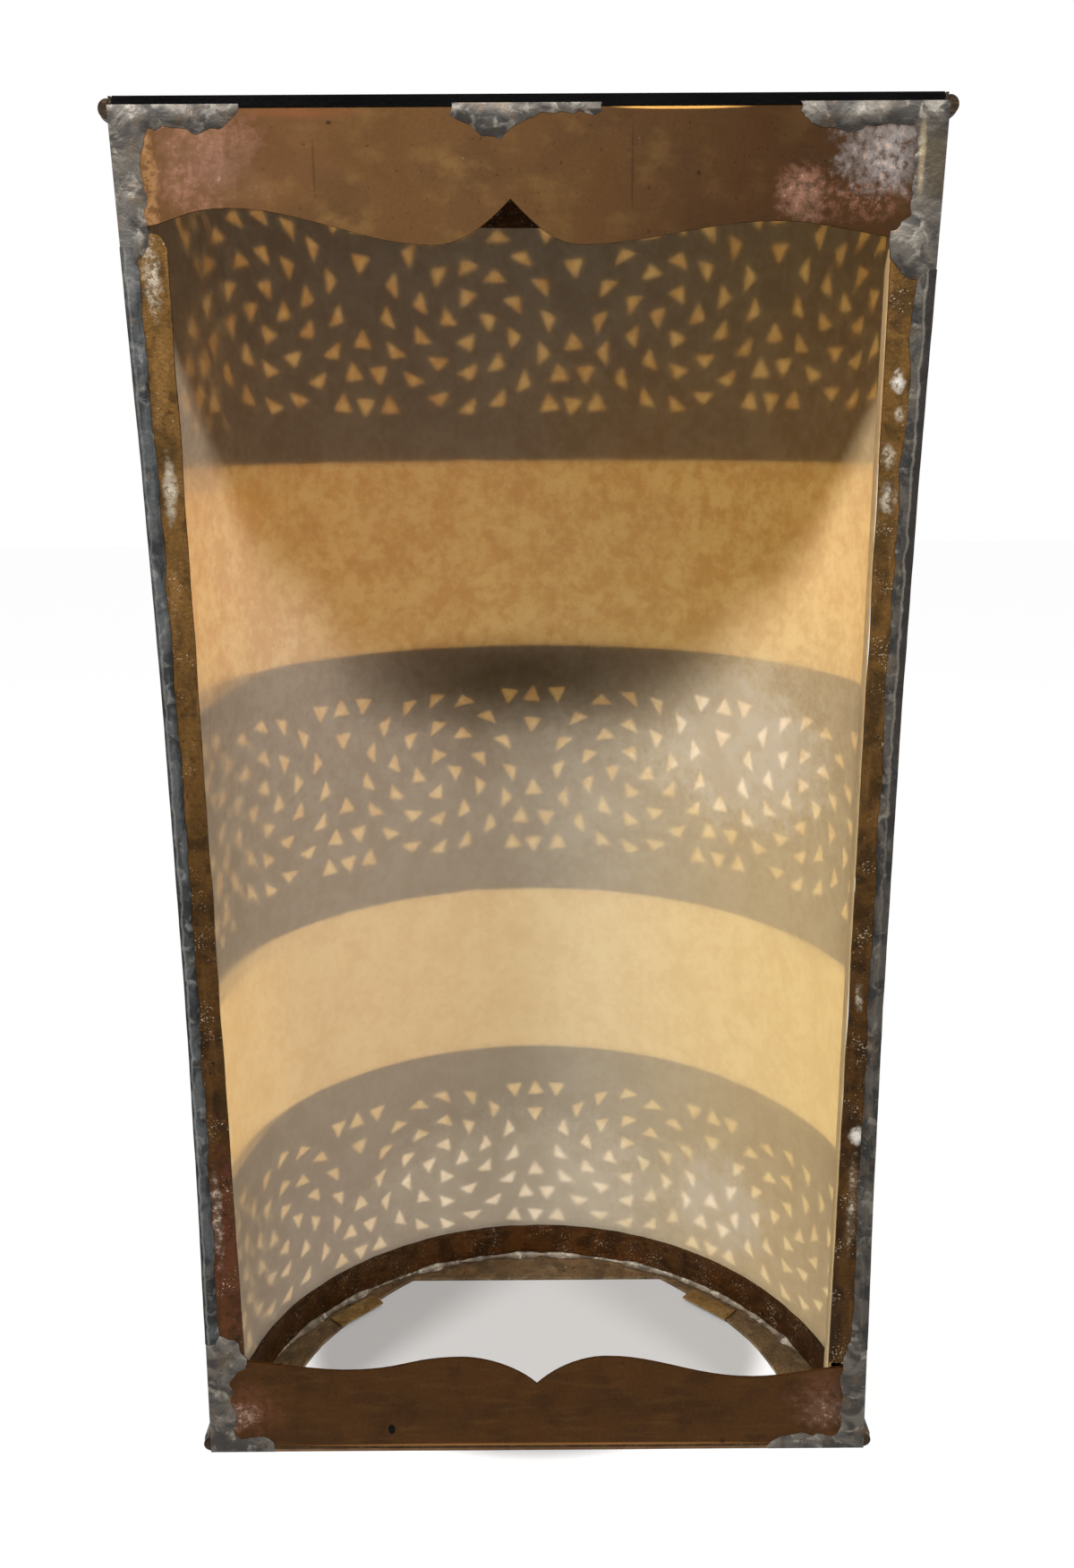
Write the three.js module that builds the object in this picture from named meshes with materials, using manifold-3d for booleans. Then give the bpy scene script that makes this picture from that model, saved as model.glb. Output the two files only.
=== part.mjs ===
// Half round wall sconce: three pierced brass bands over a parchment shade, on a soldered brass frame.
// Millimetres, +Z up, wall at y = 0, the round front faces -Y. Left and right are as seen from the front.
// Heights are written from the edge that the sconce stands on; the whole is then lowered to its wall mount.
import * as THREE from 'three';
import { mergeGeometries, mergeVertices } from 'three/addons/utils/BufferGeometryUtils.js';
import Module from 'manifold-3d';

const wasm = await Module();
wasm.setup();

// Overall form
const height = 435;
const shellRadius = 114; // outside of the pierced bands
const wallReach = 4; // straight run of the shell from its half round to the wall
const waist = 2.9; // how far each side bows in at mid height
const clearance = 0.3; // between pieces that touch
const facetDegrees = 5;

// Pierced bands
const bandHeight = 99;
const bandThickness = 0.8;
const topBandTurn = -8; // degrees that the top band's pattern sits round to the left

// Piercings, all triangular. A medallion is rings of them, and a column stands between two medallions.
const medallionPitch = 79;
const swirlDegrees = 28;
const rings = [
  { radius: 30, count: 16, base: 9.2, rise: 4.2 },
  { radius: 18.4, count: 10, base: 8.6, rise: 4.6 },
  { radius: 7.6, count: 4, base: 7.8, rise: 5.2 },
];
const columnBase = 7.4;
const columnRise = 6.4;
const columnRows = [
  { level: 30.4, offsets: [-9.4, 9.4], tip: -1 },
  { level: 29.8, offsets: [0], tip: 1 },
  { level: 18.6, offsets: [0], tip: -1 },
  { level: -7.8, offsets: [0], tip: 1 },
  { level: -18.6, offsets: [-5], tip: -1 },
  { level: -19, offsets: [5], tip: 1 },
  { level: -29.8, offsets: [-9.4, 9.4], tip: 1 },
  { level: -29.4, offsets: [0], tip: -1 },
];
const turnWander = 9; // degrees that a hand cut triangle may be off
const placeWander = 0.5;

// Parchment shade: it follows the bands and their waist, and springs in near its edges
const shadeThickness = 0.6;
const leftShade = { spring: 12.1, from: 74, waisted: 0 }; // its edge shows past the stile's inner edge
const rightShade = { spring: 3.5, from: 55, waisted: 1 };

// Stiles: the two folded strips up the back
const stileThickness = 1;
const stileWidth = 12.1; // across the back
const stileReturn = 12; // depth of the side fold
const stileGap = 1.6; // below the top plate and above the bottom one
const stileRound = 4;

// Back plates, each with a scalloped inner edge; levels are distances from the plate's own end
const plateThickness = 1;
const plateGap = 0.6; // dark line between the bottom plate and the end ring
const topScallop = {
  right: { end: 33.3, valley: 28.4, valleyIn: 27.2, lobeAt: 27 },
  left: { end: 37.7, valley: 32.4, valleyIn: 42, lobeAt: 15 },
  lobe: 38.3,
  notch: 26.4,
  notchAt: 5.2,
};
const bottomScallop = {
  right: { end: 37.6, valley: 32.6, valleyIn: 45, lobeAt: 26 },
  left: { end: 33.1, valley: 28.9, valleyIn: 36, lobeAt: 24 },
  lobe: 37.5,
  notch: 26.8,
  notchAt: 0,
};
const scallopFlank = 7; // how steeply a notch's sides leave its point
const scallopSoft = { end: 12, valleyOut: 14, valleyIn: 20, lobeOut: 18, lobeIn: 8 }; // curve handles

// Ends: a flat D shaped ring at the bottom, and a cap that closes the top
const bottomRingThickness = 1.4;
const capThickness = 3;

// The ring's opening, from the shell's outside: a straight front edge, then bowed sides to the wall end
const ledge = { front: 19.5, side: 30, rearCorner: 20, rear: 10 };
const frontShare = 0.84; // share of the shell's width there that the front edge takes
const sideShare = 0.5; // how far forward the opening's side point is, as a share of the shell's radius
const openingBow = { out: 0.55, forward: 0.8, rear: 0.62 }; // where the handles of its curves are

// Retaining strips inside the shade's ends
const stripHeight = 14;
const topStripHeight = 15;
const stripThickness = 0.8;
const stripGap = 0.8; // between a strip and the shade
const stripJoint = 2.2; // degrees from the front where the bottom strip's two lengths meet

// Brass tabs on the bottom ring
const tab = { length: 21, width: 7, thickness: 0.8, inset: 15.4, right: 45.4, left: -43.3 };

// Half round rims outside both ends
const rimRadius = 3.3;

// Solder
const solderStand = 1; // how proud of the back it stands
const solderSide = 0.6; // how far past the shell it stands at the back corners
const capCover = 2.2; // from the top edge down to where solder starts over the cap's edge
const seam = { width: 5.9, wander: 0.9, pitch: 9 };
const columnWidth = 7.7; // solder beside the plates' ends
const corners = {
  top_left_solder: { side: -1, end: 1, foot: 40, depth: 6.5, height: 45, reach: 13.6 },
  top_right_solder: { side: 1, end: 1, foot: 35, depth: 6, height: 38, reach: 7.7 },
  bottom_left_solder: { side: -1, end: -1, foot: 33, depth: 5.5, height: 42, reach: 7.7 },
  bottom_right_solder: { side: 1, end: -1, foot: 22, depth: 5.5, height: 46, reach: 13.6 },
};
const centreSolder = { at: 8, half: 12, depth: 8.5, tail: 27, tailDepth: 1.8 };
const footSolder = { rise: 2.4, run: 2.2, reach: 66 };

// The origin is on the top plate's back face, between its notch and the solder above it
const originDrop = 19.8; // below the top edge
const originHeight = height - originDrop;

const radians = THREE.MathUtils.degToRad;
const bandGap = (height - 3 * bandHeight) / 2;
const floorLevel = bottomRingThickness + clearance;
const ceilingLevel = height - capThickness - clearance;
const shadeInset = bandThickness + clearance;
const stileInnerEdge = shellRadius - shadeInset - stileWidth;
const sideOuter = shellRadius + solderSide;
const stripInset = shadeInset + shadeThickness + stripGap;

const finishes = {
  band: { color: 0x8d6a35, roughness: 0.42, metalness: 0.9 },
  shade: { color: 0xdcbf8a, roughness: 0.8, metalness: 0 },
  stile: { color: 0x7a5524, roughness: 0.5, metalness: 0.85 },
  plate: { color: 0x77522f, roughness: 0.45, metalness: 0.85 },
  ring: { color: 0x6d5532, roughness: 0.5, metalness: 0.85 },
  strip: { color: 0x5a3a18, roughness: 0.5, metalness: 0.85 },
  rim: { color: 0x4a3b28, roughness: 0.5, metalness: 0.85 },
  tab: { color: 0xa98a52, roughness: 0.4, metalness: 0.85 },
  solder: { color: 0x6f6c67, roughness: 0.6, metalness: 0.7 },
};

const sconce = new THREE.Group();
sconce.position.z = -originHeight;
const root = new THREE.Group();
root.add(sconce);

function add(name, geometry, finish) {
  const piece = new THREE.Mesh(geometry, new THREE.MeshStandardMaterial(finishes[finish]));
  piece.name = name;
  sconce.add(piece);
}

// A closed geometry as a solid that can be joined and cut, and back again
function solidOf(geometry) {
  const bare = geometry.index ? geometry.toNonIndexed() : geometry.clone();
  bare.deleteAttribute('normal');
  bare.deleteAttribute('uv');
  const merged = mergeVertices(bare, 1e-4);
  const vertProperties = new Float32Array(merged.attributes.position.array);
  const triVerts = new Uint32Array(merged.index.array);
  return new wasm.Manifold(new wasm.Mesh({ numProp: 3, vertProperties, triVerts }));
}

function geometryOf(solid) {
  const mesh = solid.getMesh();
  const geometry = new THREE.BufferGeometry();
  geometry.setAttribute('position', new THREE.BufferAttribute(mesh.vertProperties, 3));
  geometry.setIndex(new THREE.BufferAttribute(mesh.triVerts, 1));
  geometry.computeVertexNormals();
  return geometry;
}

// An outline drawn in plan, raised from one height to another
function raise(shape, low, high, steps = 1) {
  const options = { depth: high - low, steps, bevelEnabled: false, curveSegments: 24 };
  return new THREE.ExtrudeGeometry(shape, options).translate(0, 0, low);
}

// An outline drawn in x and z, with its back face at a distance from the wall and its body in front of it
function stand(shape, thickness, back = 0, segments = 8) {
  const options = { depth: thickness, bevelEnabled: false, curveSegments: segments };
  return new THREE.ExtrudeGeometry(shape, options).rotateX(Math.PI / 2).translate(0, back, 0);
}

// The waist: nothing at the ends, full over the middle band, in straight runs between the bands' edges
const middleTop = height - bandHeight - bandGap;
const waistLevels = [0, bandHeight, bandHeight + bandGap, middleTop, height - bandHeight, height];
const waistShares = [0, 0.72, 1, 1, 0.72, 0];
function waistAt(z) {
  for (let i = 1; i < waistLevels.length; i += 1) {
    if (z <= waistLevels[i] || i === waistLevels.length - 1) {
      const t = (z - waistLevels[i - 1]) / (waistLevels[i] - waistLevels[i - 1]);
      return waist * THREE.MathUtils.lerp(waistShares[i - 1], waistShares[i], t);
    }
  }
  return 0;
}

// Bows a piece in at the waist: shell pieces in proportion to x, edge pieces only outside a given x
function bow(geometry, still = 0, full = shellRadius) {
  const place = geometry.attributes.position;
  for (let i = 0; i < place.count; i += 1) {
    const x = place.getX(i);
    const share = THREE.MathUtils.clamp((Math.abs(x) - still) / (full - still), 0, 1.05);
    place.setX(i, x - Math.sign(x) * share * waistAt(place.getZ(i)));
  }
  return geometry;
}

// A point of the plan: degrees round from the front (+X positive), some way in from the shell's outside
function shellPoint(degrees, inset, drift = 0) {
  const radius = shellRadius - inset - drift;
  const angle = radians(degrees);
  return new THREE.Vector2(radius * Math.sin(angle), -wallReach - radius * Math.cos(angle));
}

// Radius out to the middle of a facet, where a round run of facets comes nearest its centre
function facetRadius(radius) {
  return radius * Math.cos(radians(facetDegrees / 2));
}

// How far inside the bands' own half round the shade runs
function shadeDrift(degrees) {
  const side = degrees < 0 ? leftShade : rightShade;
  return side.spring * THREE.MathUtils.smoothstep(Math.abs(degrees), side.from, 90);
}

// Bows the shade and its strips in at the waist, but not where an edge springs free of the bands
function bowShade(geometry) {
  const place = geometry.attributes.position;
  for (let i = 0; i < place.count; i += 1) {
    const x = place.getX(i);
    const side = x < 0 ? leftShade : rightShade;
    const degrees = THREE.MathUtils.radToDeg(Math.atan2(Math.abs(x), -place.getY(i) - wallReach));
    const held = 1 - (1 - side.waisted) * THREE.MathUtils.smoothstep(degrees, side.from, 90);
    place.setX(i, x - (x / shellRadius) * held * waistAt(place.getZ(i)));
  }
  return geometry;
}

// One edge of a strip that runs round the plan; past 90 degrees it runs straight back to the wall
function runRound(inset, from, to, back, drifts) {
  const steps = Math.ceil((to - from) / facetDegrees);
  const points = [];
  for (let i = 0; i <= steps; i += 1) {
    const degrees = from + ((to - from) * i) / steps;
    points.push(shellPoint(degrees, inset, drifts ? shadeDrift(degrees) : 0));
  }
  if (from <= -90) points.unshift(new THREE.Vector2(points[0].x, -back));
  if (to >= 90) points.push(new THREE.Vector2(points[points.length - 1].x, -back));
  return points;
}

function ribbon(inset, thickness, { from = -90, to = 90, back = 0, drifts = false } = {}) {
  const outer = runRound(inset, from, to, back, drifts);
  const inner = runRound(inset + thickness, from, to, back, drifts);
  return new THREE.Shape([...outer, ...inner.reverse()]);
}

// Repeatable wander from -1 to 1 for hand work
function wander(seed) {
  const wave = Math.sin(seed * 12.9898) * 43758.5453;
  return 2 * (wave - Math.floor(wave)) - 1;
}

// A triangular cutter through a band: centre along the band and up it, its tip turned from straight up
function triangleCutter(base, rise, along, up, turn) {
  const shape = new THREE.Shape([
    new THREE.Vector2(-base / 2, -rise / 3),
    new THREE.Vector2(base / 2, -rise / 3),
    new THREE.Vector2(0, (2 * rise) / 3),
  ]);
  const depth = bandThickness + 6;
  const cutter = new THREE.ExtrudeGeometry(shape, { depth, bevelEnabled: false });
  cutter.rotateZ(turn).translate(0, up, shellRadius - depth + 2);
  return cutter.rotateX(Math.PI / 2).rotateZ(along / shellRadius).translate(0, -wallReach, 0);
}

// The piercings of one band, as cutters round the band's mid height
function piercings(turnRound, hand) {
  const cutters = [];
  const arc = Math.PI * shellRadius;
  const count = Math.floor(arc / medallionPitch);
  const pitch = arc / (count + 0.5);
  const shift = radians(turnRound) * shellRadius;
  const edge = arc / 2 + wallReach - stileReturn - columnBase / 2;
  const room = bandHeight / 2 - columnRise;
  let seed = turnRound + 3 * hand;
  const pierce = (base, rise, along, up, turn) => {
    seed += 1;
    const place = along + placeWander * wander(seed);
    const level = up + placeWander * wander(seed + 0.3);
    if (Math.abs(place) + base / 2 > edge || Math.abs(level) > room) return;
    cutters.push(triangleCutter(base, rise, place, level, turn + radians(turnWander) * wander(seed + 0.6)));
  };
  for (let m = 0; m < count; m += 1) {
    const centre = (m - (count - 1) / 2) * pitch + shift;
    const swirl = radians(swirlDegrees) * hand * (m % 2 ? 1 : -1);
    rings.forEach((ring, r) => {
      for (let k = 0; k < ring.count; k += 1) {
        const angle = ((k + 0.5 * (r % 2)) / ring.count) * 2 * Math.PI;
        const along = centre + ring.radius * Math.cos(angle);
        pierce(ring.base, ring.rise, along, ring.radius * Math.sin(angle), angle - Math.PI / 2 + swirl);
      }
    });
  }
  for (let c = 0; c <= count; c += 1) {
    const centre = (c - count / 2) * pitch + shift;
    for (const row of columnRows) {
      for (const offset of row.offsets) {
        pierce(columnBase, columnRise, centre + offset, row.level, row.tip > 0 ? 0 : Math.PI);
      }
    }
  }
  return mergeGeometries(cutters);
}

function band(name, low, turnRound, hand) {
  const blank = solidOf(raise(ribbon(0, bandThickness), low, low + bandHeight));
  const cut = solidOf(piercings(turnRound, hand).translate(0, 0, low + bandHeight / 2));
  add(name, bow(geometryOf(blank.subtract(cut))), 'band');
}

// Stiles: a flat leg across the back, with a round inner corner at its top, and a fold along the side
function stile(name, side) {
  const outer = shellRadius - bandThickness - clearance;
  const hand = side > 0 ? 'right' : 'left';
  const low = bottomScallop[hand].end + stileGap;
  const high = height - topScallop[hand].end - stileGap;
  const levels = [floorLevel, ...waistLevels.slice(1, -1), ceilingLevel];
  const round = facetRadius(outer);
  const front = Math.sqrt(round * round - (stileReturn - wallReach) ** 2);
  const fold = new THREE.Shape([
    new THREE.Vector2(front - stileThickness, -stileReturn),
    new THREE.Vector2(front, -stileReturn),
    new THREE.Vector2(outer, -wallReach),
    new THREE.Vector2(outer, -0.6 * stileThickness),
    new THREE.Vector2(outer - stileThickness, -0.6 * stileThickness),
    new THREE.Vector2(outer - stileThickness, -wallReach),
  ]);
  const foldBody = raise(fold, 0, levels.length - 1, levels.length - 1);
  toLevels(foldBody, levels);
  const leg = new THREE.Shape();
  leg.moveTo(stileInnerEdge, low);
  leg.lineTo(outer, low);
  waistLevels.slice(1, -1).forEach((z) => leg.lineTo(outer, z));
  leg.lineTo(outer, high);
  leg.lineTo(stileInnerEdge + stileRound, high);
  leg.absarc(stileInnerEdge + stileRound, high - stileRound, stileRound, Math.PI / 2, Math.PI, false);
  const legBody = stand(leg, stileThickness);
  const solid = solidOf(bow(foldBody, stileInnerEdge + 2, outer - stileThickness));
  const joined = solid.add(solidOf(bow(legBody, stileInnerEdge + 2, outer - stileThickness)));
  add(name, mirrored(geometryOf(joined), side), 'stile');
}

// Moves the whole number heights of a stepped extrusion to the given levels
function toLevels(geometry, levels) {
  const place = geometry.attributes.position;
  for (let i = 0; i < place.count; i += 1) place.setZ(i, levels[Math.round(place.getZ(i))]);
  return geometry;
}

// A right hand piece as it is, or turned into its left hand twin with its faces still outward
function mirrored(geometry, side) {
  if (side > 0) return geometry;
  const flat = geometry.index ? geometry.toNonIndexed() : geometry.clone();
  flat.deleteAttribute('normal');
  flat.scale(-1, 1, 1);
  const place = flat.attributes.position;
  const hold = new THREE.Vector3();
  const other = new THREE.Vector3();
  for (let i = 0; i < place.count; i += 3) {
    hold.fromBufferAttribute(place, i + 1);
    other.fromBufferAttribute(place, i + 2);
    place.setXYZ(i + 1, other.x, other.y, other.z);
    place.setXYZ(i + 2, hold.x, hold.y, hold.z);
  }
  flat.computeVertexNormals();
  return flat;
}

// A back plate: straight outer edge, scalloped inner edge with a pointed notch near its centre
function plateShape({ right, left, lobe, notch, notchAt }, straight) {
  const half = sideOuter - columnWidth / 2;
  const soft = scallopSoft;
  const rightValley = half - right.valleyIn;
  const leftValley = left.valleyIn - half;
  const flank = notch + scallopFlank;
  const shape = new THREE.Shape();
  const curve = (startX, startLevel, endX, endLevel, x, level) => {
    shape.bezierCurveTo(startX, startLevel, endX, endLevel, x, level);
  };
  shape.moveTo(-half, straight);
  shape.lineTo(half, straight);
  shape.lineTo(half, right.end);
  curve(half - soft.end, right.end, rightValley + soft.valleyOut, right.valley, rightValley, right.valley);
  curve(rightValley - soft.valleyIn, right.valley, right.lobeAt + soft.lobeOut, lobe, right.lobeAt, lobe);
  curve(right.lobeAt - soft.lobeIn, lobe, notchAt + scallopFlank, flank, notchAt, notch);
  curve(notchAt - scallopFlank, flank, soft.lobeIn - left.lobeAt, lobe, -left.lobeAt, lobe);
  curve(-left.lobeAt - soft.lobeOut, lobe, leftValley + soft.valleyIn, left.valley, leftValley, left.valley);
  curve(leftValley - soft.valleyOut, left.valley, soft.end - half, left.end, -half, left.end);
  return shape;
}

// Outline of a corner's solder from its outside corner: a foot along the end, a column up the side,
// and where reach is more than the column's width a lump over the end of the stile
function cornerOutline({ foot, depth, height: rise, reach }, grow) {
  const shape = new THREE.Shape();
  const column = columnWidth + grow;
  shape.moveTo(-grow, -grow);
  shape.lineTo(foot + grow, -grow);
  shape.quadraticCurveTo(foot + grow, depth + grow, 0.66 * foot, depth + grow);
  shape.quadraticCurveTo(0.5 * foot, 0.7 * depth + grow, column + 3, 0.8 * depth + grow);
  shape.quadraticCurveTo(column, 0.9 * depth + grow, column, depth + 4 + grow);
  shape.lineTo(column, 0.6 * rise);
  shape.quadraticCurveTo(column, 0.72 * rise - grow, reach + grow, 0.76 * rise - grow);
  shape.quadraticCurveTo(reach + grow, rise + grow, 0.6 * column, rise + grow);
  shape.lineTo(-grow, rise + grow);
  return shape;
}

function cornerBody(corner, thickness, back, grow = 0) {
  const body = stand(cornerOutline(corner, grow), thickness, back, 5);
  body.translate(-sideOuter, 0, 0);
  if (corner.end > 0) {
    body.scale(1, 1, -1).translate(0, 0, height - capCover);
    return mirrored(flipped(body), corner.side > 0 ? -1 : 1);
  }
  return mirrored(body, corner.side > 0 ? -1 : 1);
}

// Turns every face over, after a scale that has mirrored the piece
function flipped(geometry) {
  return mirrored(geometry.clone().scale(-1, 1, 1), -1);
}

function centreOutline(grow) {
  const { half, depth, tail, tailDepth } = centreSolder;
  const shape = new THREE.Shape();
  shape.moveTo(half + grow, grow);
  shape.lineTo(-tail - grow, grow);
  shape.lineTo(-tail - grow, -tailDepth - grow);
  shape.lineTo(-half, -tailDepth - grow);
  shape.quadraticCurveTo(-0.4 * half, -0.35 * depth - grow, 0, -depth - grow);
  shape.quadraticCurveTo(0.5 * half, -0.75 * depth - grow, half + grow, -tailDepth - grow);
  return shape;
}

function centreBody(thickness, back, grow = 0) {
  return stand(centreOutline(grow), thickness, back).translate(centreSolder.at, 0, height - capCover);
}

function backPlates() {
  const deep = 3 * plateThickness;
  const cutterOf = (corner) => solidOf(cornerBody(corner, deep, plateThickness, clearance));
  const cutters = Object.values(corners).map(cutterOf);
  const centre = solidOf(centreBody(deep, plateThickness, clearance));
  let top = stand(plateShape(topScallop, capThickness + clearance), plateThickness, 0, 12);
  top = solidOf(flipped(top.scale(1, 1, -1).translate(0, 0, height))).subtract(centre);
  const bottomOutline = plateShape(bottomScallop, bottomRingThickness + plateGap);
  let bottom = solidOf(stand(bottomOutline, plateThickness, 0, 12));
  for (const cutter of cutters) {
    top = top.subtract(cutter);
    bottom = bottom.subtract(cutter);
  }
  add('top_back_plate', geometryOf(top), 'plate');
  add('bottom_back_plate', geometryOf(bottom), 'plate');
}

// An end piece: the shell's inner plan, either whole or with an opening
function endPiece(name, low, high, opening) {
  const shape = new THREE.Shape(runRound(shadeInset, -90, 90, 0, false));
  if (opening) shape.holes.push(opening);
  const options = { depth: high - low, bevelEnabled: false, curveSegments: 8 };
  add(name, bow(new THREE.ExtrudeGeometry(shape, options).translate(0, 0, low)), 'ring');
}

// The opening: straight across the front, bowed at the sides and straight along the back
function ringOpening() {
  const front = ledge.front - shellRadius - wallReach;
  const corner = frontShare * Math.sqrt((shellRadius - shadeInset) ** 2 - (shellRadius - ledge.front) ** 2);
  const side = shellRadius - ledge.side;
  const rear = shellRadius - ledge.rearCorner;
  const sideAt = -sideShare * shellRadius;
  const reach = side - corner;
  const opening = new THREE.Path();
  opening.moveTo(corner, front);
  const bowAt = [corner + openingBow.out * reach, sideAt - openingBow.forward * reach];
  const rearAt = openingBow.rear * sideAt;
  opening.quadraticCurveTo(bowAt[0], bowAt[1], side, sideAt);
  opening.quadraticCurveTo(rear, rearAt, rear, -ledge.rear);
  opening.lineTo(-rear, -ledge.rear);
  opening.quadraticCurveTo(-rear, rearAt, -side, sideAt);
  opening.quadraticCurveTo(-bowAt[0], bowAt[1], -corner, front);
  return opening;
}

// A run round the plan as a curve, for rims and solder beads
class PlanCurve extends THREE.Curve {
  constructor(inset, reach, level, drifts) {
    super();
    Object.assign(this, { inset, reach, level, drifts });
  }

  getPoint(t, target = new THREE.Vector3()) {
    const degrees = THREE.MathUtils.lerp(this.reach, -this.reach, t);
    const flat = shellPoint(degrees, this.inset, this.drifts ? shadeDrift(degrees) : 0);
    return target.set(flat.x, flat.y, this.level);
  }
}

// A half round rim outside the shell: swept round the front, with straight ends back to the wall
function rim(name, low) {
  const level = low + rimRadius;
  const section = new THREE.Shape();
  section.absarc(0, 0, rimRadius, 0, Math.PI, false);
  const steps = 180 / facetDegrees;
  const path = new PlanCurve(-clearance, 90, level, false);
  const plain = { curveSegments: 7, bevelEnabled: false };
  const round = new THREE.ExtrudeGeometry(section, { ...plain, extrudePath: path, steps });
  const end = new THREE.ExtrudeGeometry(section, { ...plain, depth: wallReach + 0.02 });
  end.rotateZ(-Math.PI / 2).rotateX(Math.PI / 2);
  end.translate(shellRadius + clearance, 0, level);
  const joined = solidOf(round).add(solidOf(end)).add(solidOf(mirrored(end, -1)));
  add(name, bow(geometryOf(joined)), 'rim');
}

// Solder up a back corner, uneven along its inner edge and its crown
function seamSolder(name, side) {
  const bottomCorner = side > 0 ? corners.bottom_right_solder : corners.bottom_left_solder;
  const topCorner = side > 0 ? corners.top_right_solder : corners.top_left_solder;
  const low = bottomCorner.height + clearance;
  const high = height - capCover - topCorner.height - clearance;
  const count = Math.round((high - low) / seam.pitch);
  const inner = sideOuter - seam.width;
  const section = new THREE.Shape([
    new THREE.Vector2(inner, clearance),
    new THREE.Vector2(sideOuter, clearance),
    new THREE.Vector2(sideOuter, clearance + 0.5 * solderStand),
    new THREE.Vector2(sideOuter - 1, clearance + solderStand),
    new THREE.Vector2(inner + 1.6, clearance + 0.85 * solderStand),
    new THREE.Vector2(inner, clearance + 0.4 * solderStand),
  ]);
  const body = raise(section, 0, count, count);
  const place = body.attributes.position;
  for (let i = 0; i < place.count; i += 1) {
    const step = Math.round(place.getZ(i));
    const x = place.getX(i);
    const sway = seam.wander * wander(step + 40 * side);
    if (x < inner + 2) place.setX(i, x + sway);
    if (place.getY(i) > clearance + 0.6 * solderStand) {
      place.setY(i, place.getY(i) - 0.15 * solderStand * (1 + wander(step + 7 * side)));
    }
    place.setZ(i, low + ((high - low) * step) / count);
  }
  add(name, mirrored(bow(body, stileInnerEdge + 2, sideOuter - seam.width + 2), side), 'solder');
}

// Bright solder in the corner between the retaining strip and the ring
function footBead() {
  const section = new THREE.Shape([
    new THREE.Vector2(0, 0),
    new THREE.Vector2(-footSolder.rise, 0),
    new THREE.Vector2(-0.4 * footSolder.rise, -0.55 * footSolder.run),
    new THREE.Vector2(0, -footSolder.run),
  ]);
  const inset = stripInset + stripThickness + clearance;
  const path = new PlanCurve(inset, footSolder.reach, floorLevel, true);
  const steps = Math.round((2 * footSolder.reach) / facetDegrees);
  const bead = new THREE.ExtrudeGeometry(section, { extrudePath: path, steps, bevelEnabled: false });
  add('strip_foot_solder', bead, 'solder');
}

function ringTab(name, degrees) {
  const body = new THREE.BoxGeometry(tab.length, tab.width, tab.thickness);
  const angle = radians(degrees);
  const radius = shellRadius - tab.inset + tab.width / 2;
  body.translate(0, -radius, floorLevel + tab.thickness / 2).rotateZ(angle).translate(0, -wallReach, 0);
  add(name, body, 'tab');
}

band('bottom_band', 0, 0, -1);
band('middle_band', bandHeight + bandGap, 0, 1);
band('top_band', height - bandHeight, topBandTurn, 1);

const shadeBack = stileThickness + clearance;
const shadeLevels = [floorLevel, ...waistLevels.slice(1, -1), ceilingLevel];
const shadeSteps = shadeLevels.length - 1;
const shadeShape = ribbon(shadeInset, shadeThickness, { back: shadeBack, drifts: true });
add('shade_sheet', bowShade(toLevels(raise(shadeShape, 0, shadeSteps, shadeSteps), shadeLevels)), 'shade');

stile('left_stile', -1);
stile('right_stile', 1);
backPlates();
endPiece('bottom_end_ring', 0, bottomRingThickness, ringOpening());
endPiece('top_cap', height - capThickness, height);

const jointHalf = THREE.MathUtils.radToDeg(clearance / shellRadius);
const stripRun = { back: shadeBack, drifts: true };
const bottomStrips = {
  bottom_left_strip: { ...stripRun, to: stripJoint - jointHalf },
  bottom_right_strip: { ...stripRun, from: stripJoint + jointHalf },
};
for (const [name, run] of Object.entries(bottomStrips)) {
  const strip = raise(ribbon(stripInset, stripThickness, run), floorLevel, floorLevel + stripHeight);
  add(name, bowShade(strip), 'strip');
}
const topStripPlan = ribbon(stripInset, stripThickness, stripRun);
const topStrip = raise(topStripPlan, ceilingLevel - topStripHeight, ceilingLevel);
add('top_strip', bowShade(topStrip), 'strip');

ringTab('right_ring_tab', tab.right);
ringTab('left_ring_tab', tab.left);
rim('bottom_rim', 0);
rim('top_rim', height - 2 * rimRadius);
seamSolder('left_seam_solder', -1);
seamSolder('right_seam_solder', 1);
for (const [name, corner] of Object.entries(corners)) {
  add(name, cornerBody(corner, solderStand, clearance + solderStand), 'solder');
}
add('top_centre_solder', centreBody(solderStand, clearance + solderStand), 'solder');
footBead();

export default root;
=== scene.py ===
import math
import bpy
from mathutils import Matrix, Vector, kdtree, noise
from mathutils.geometry import delaunay_2d_cdt


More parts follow.
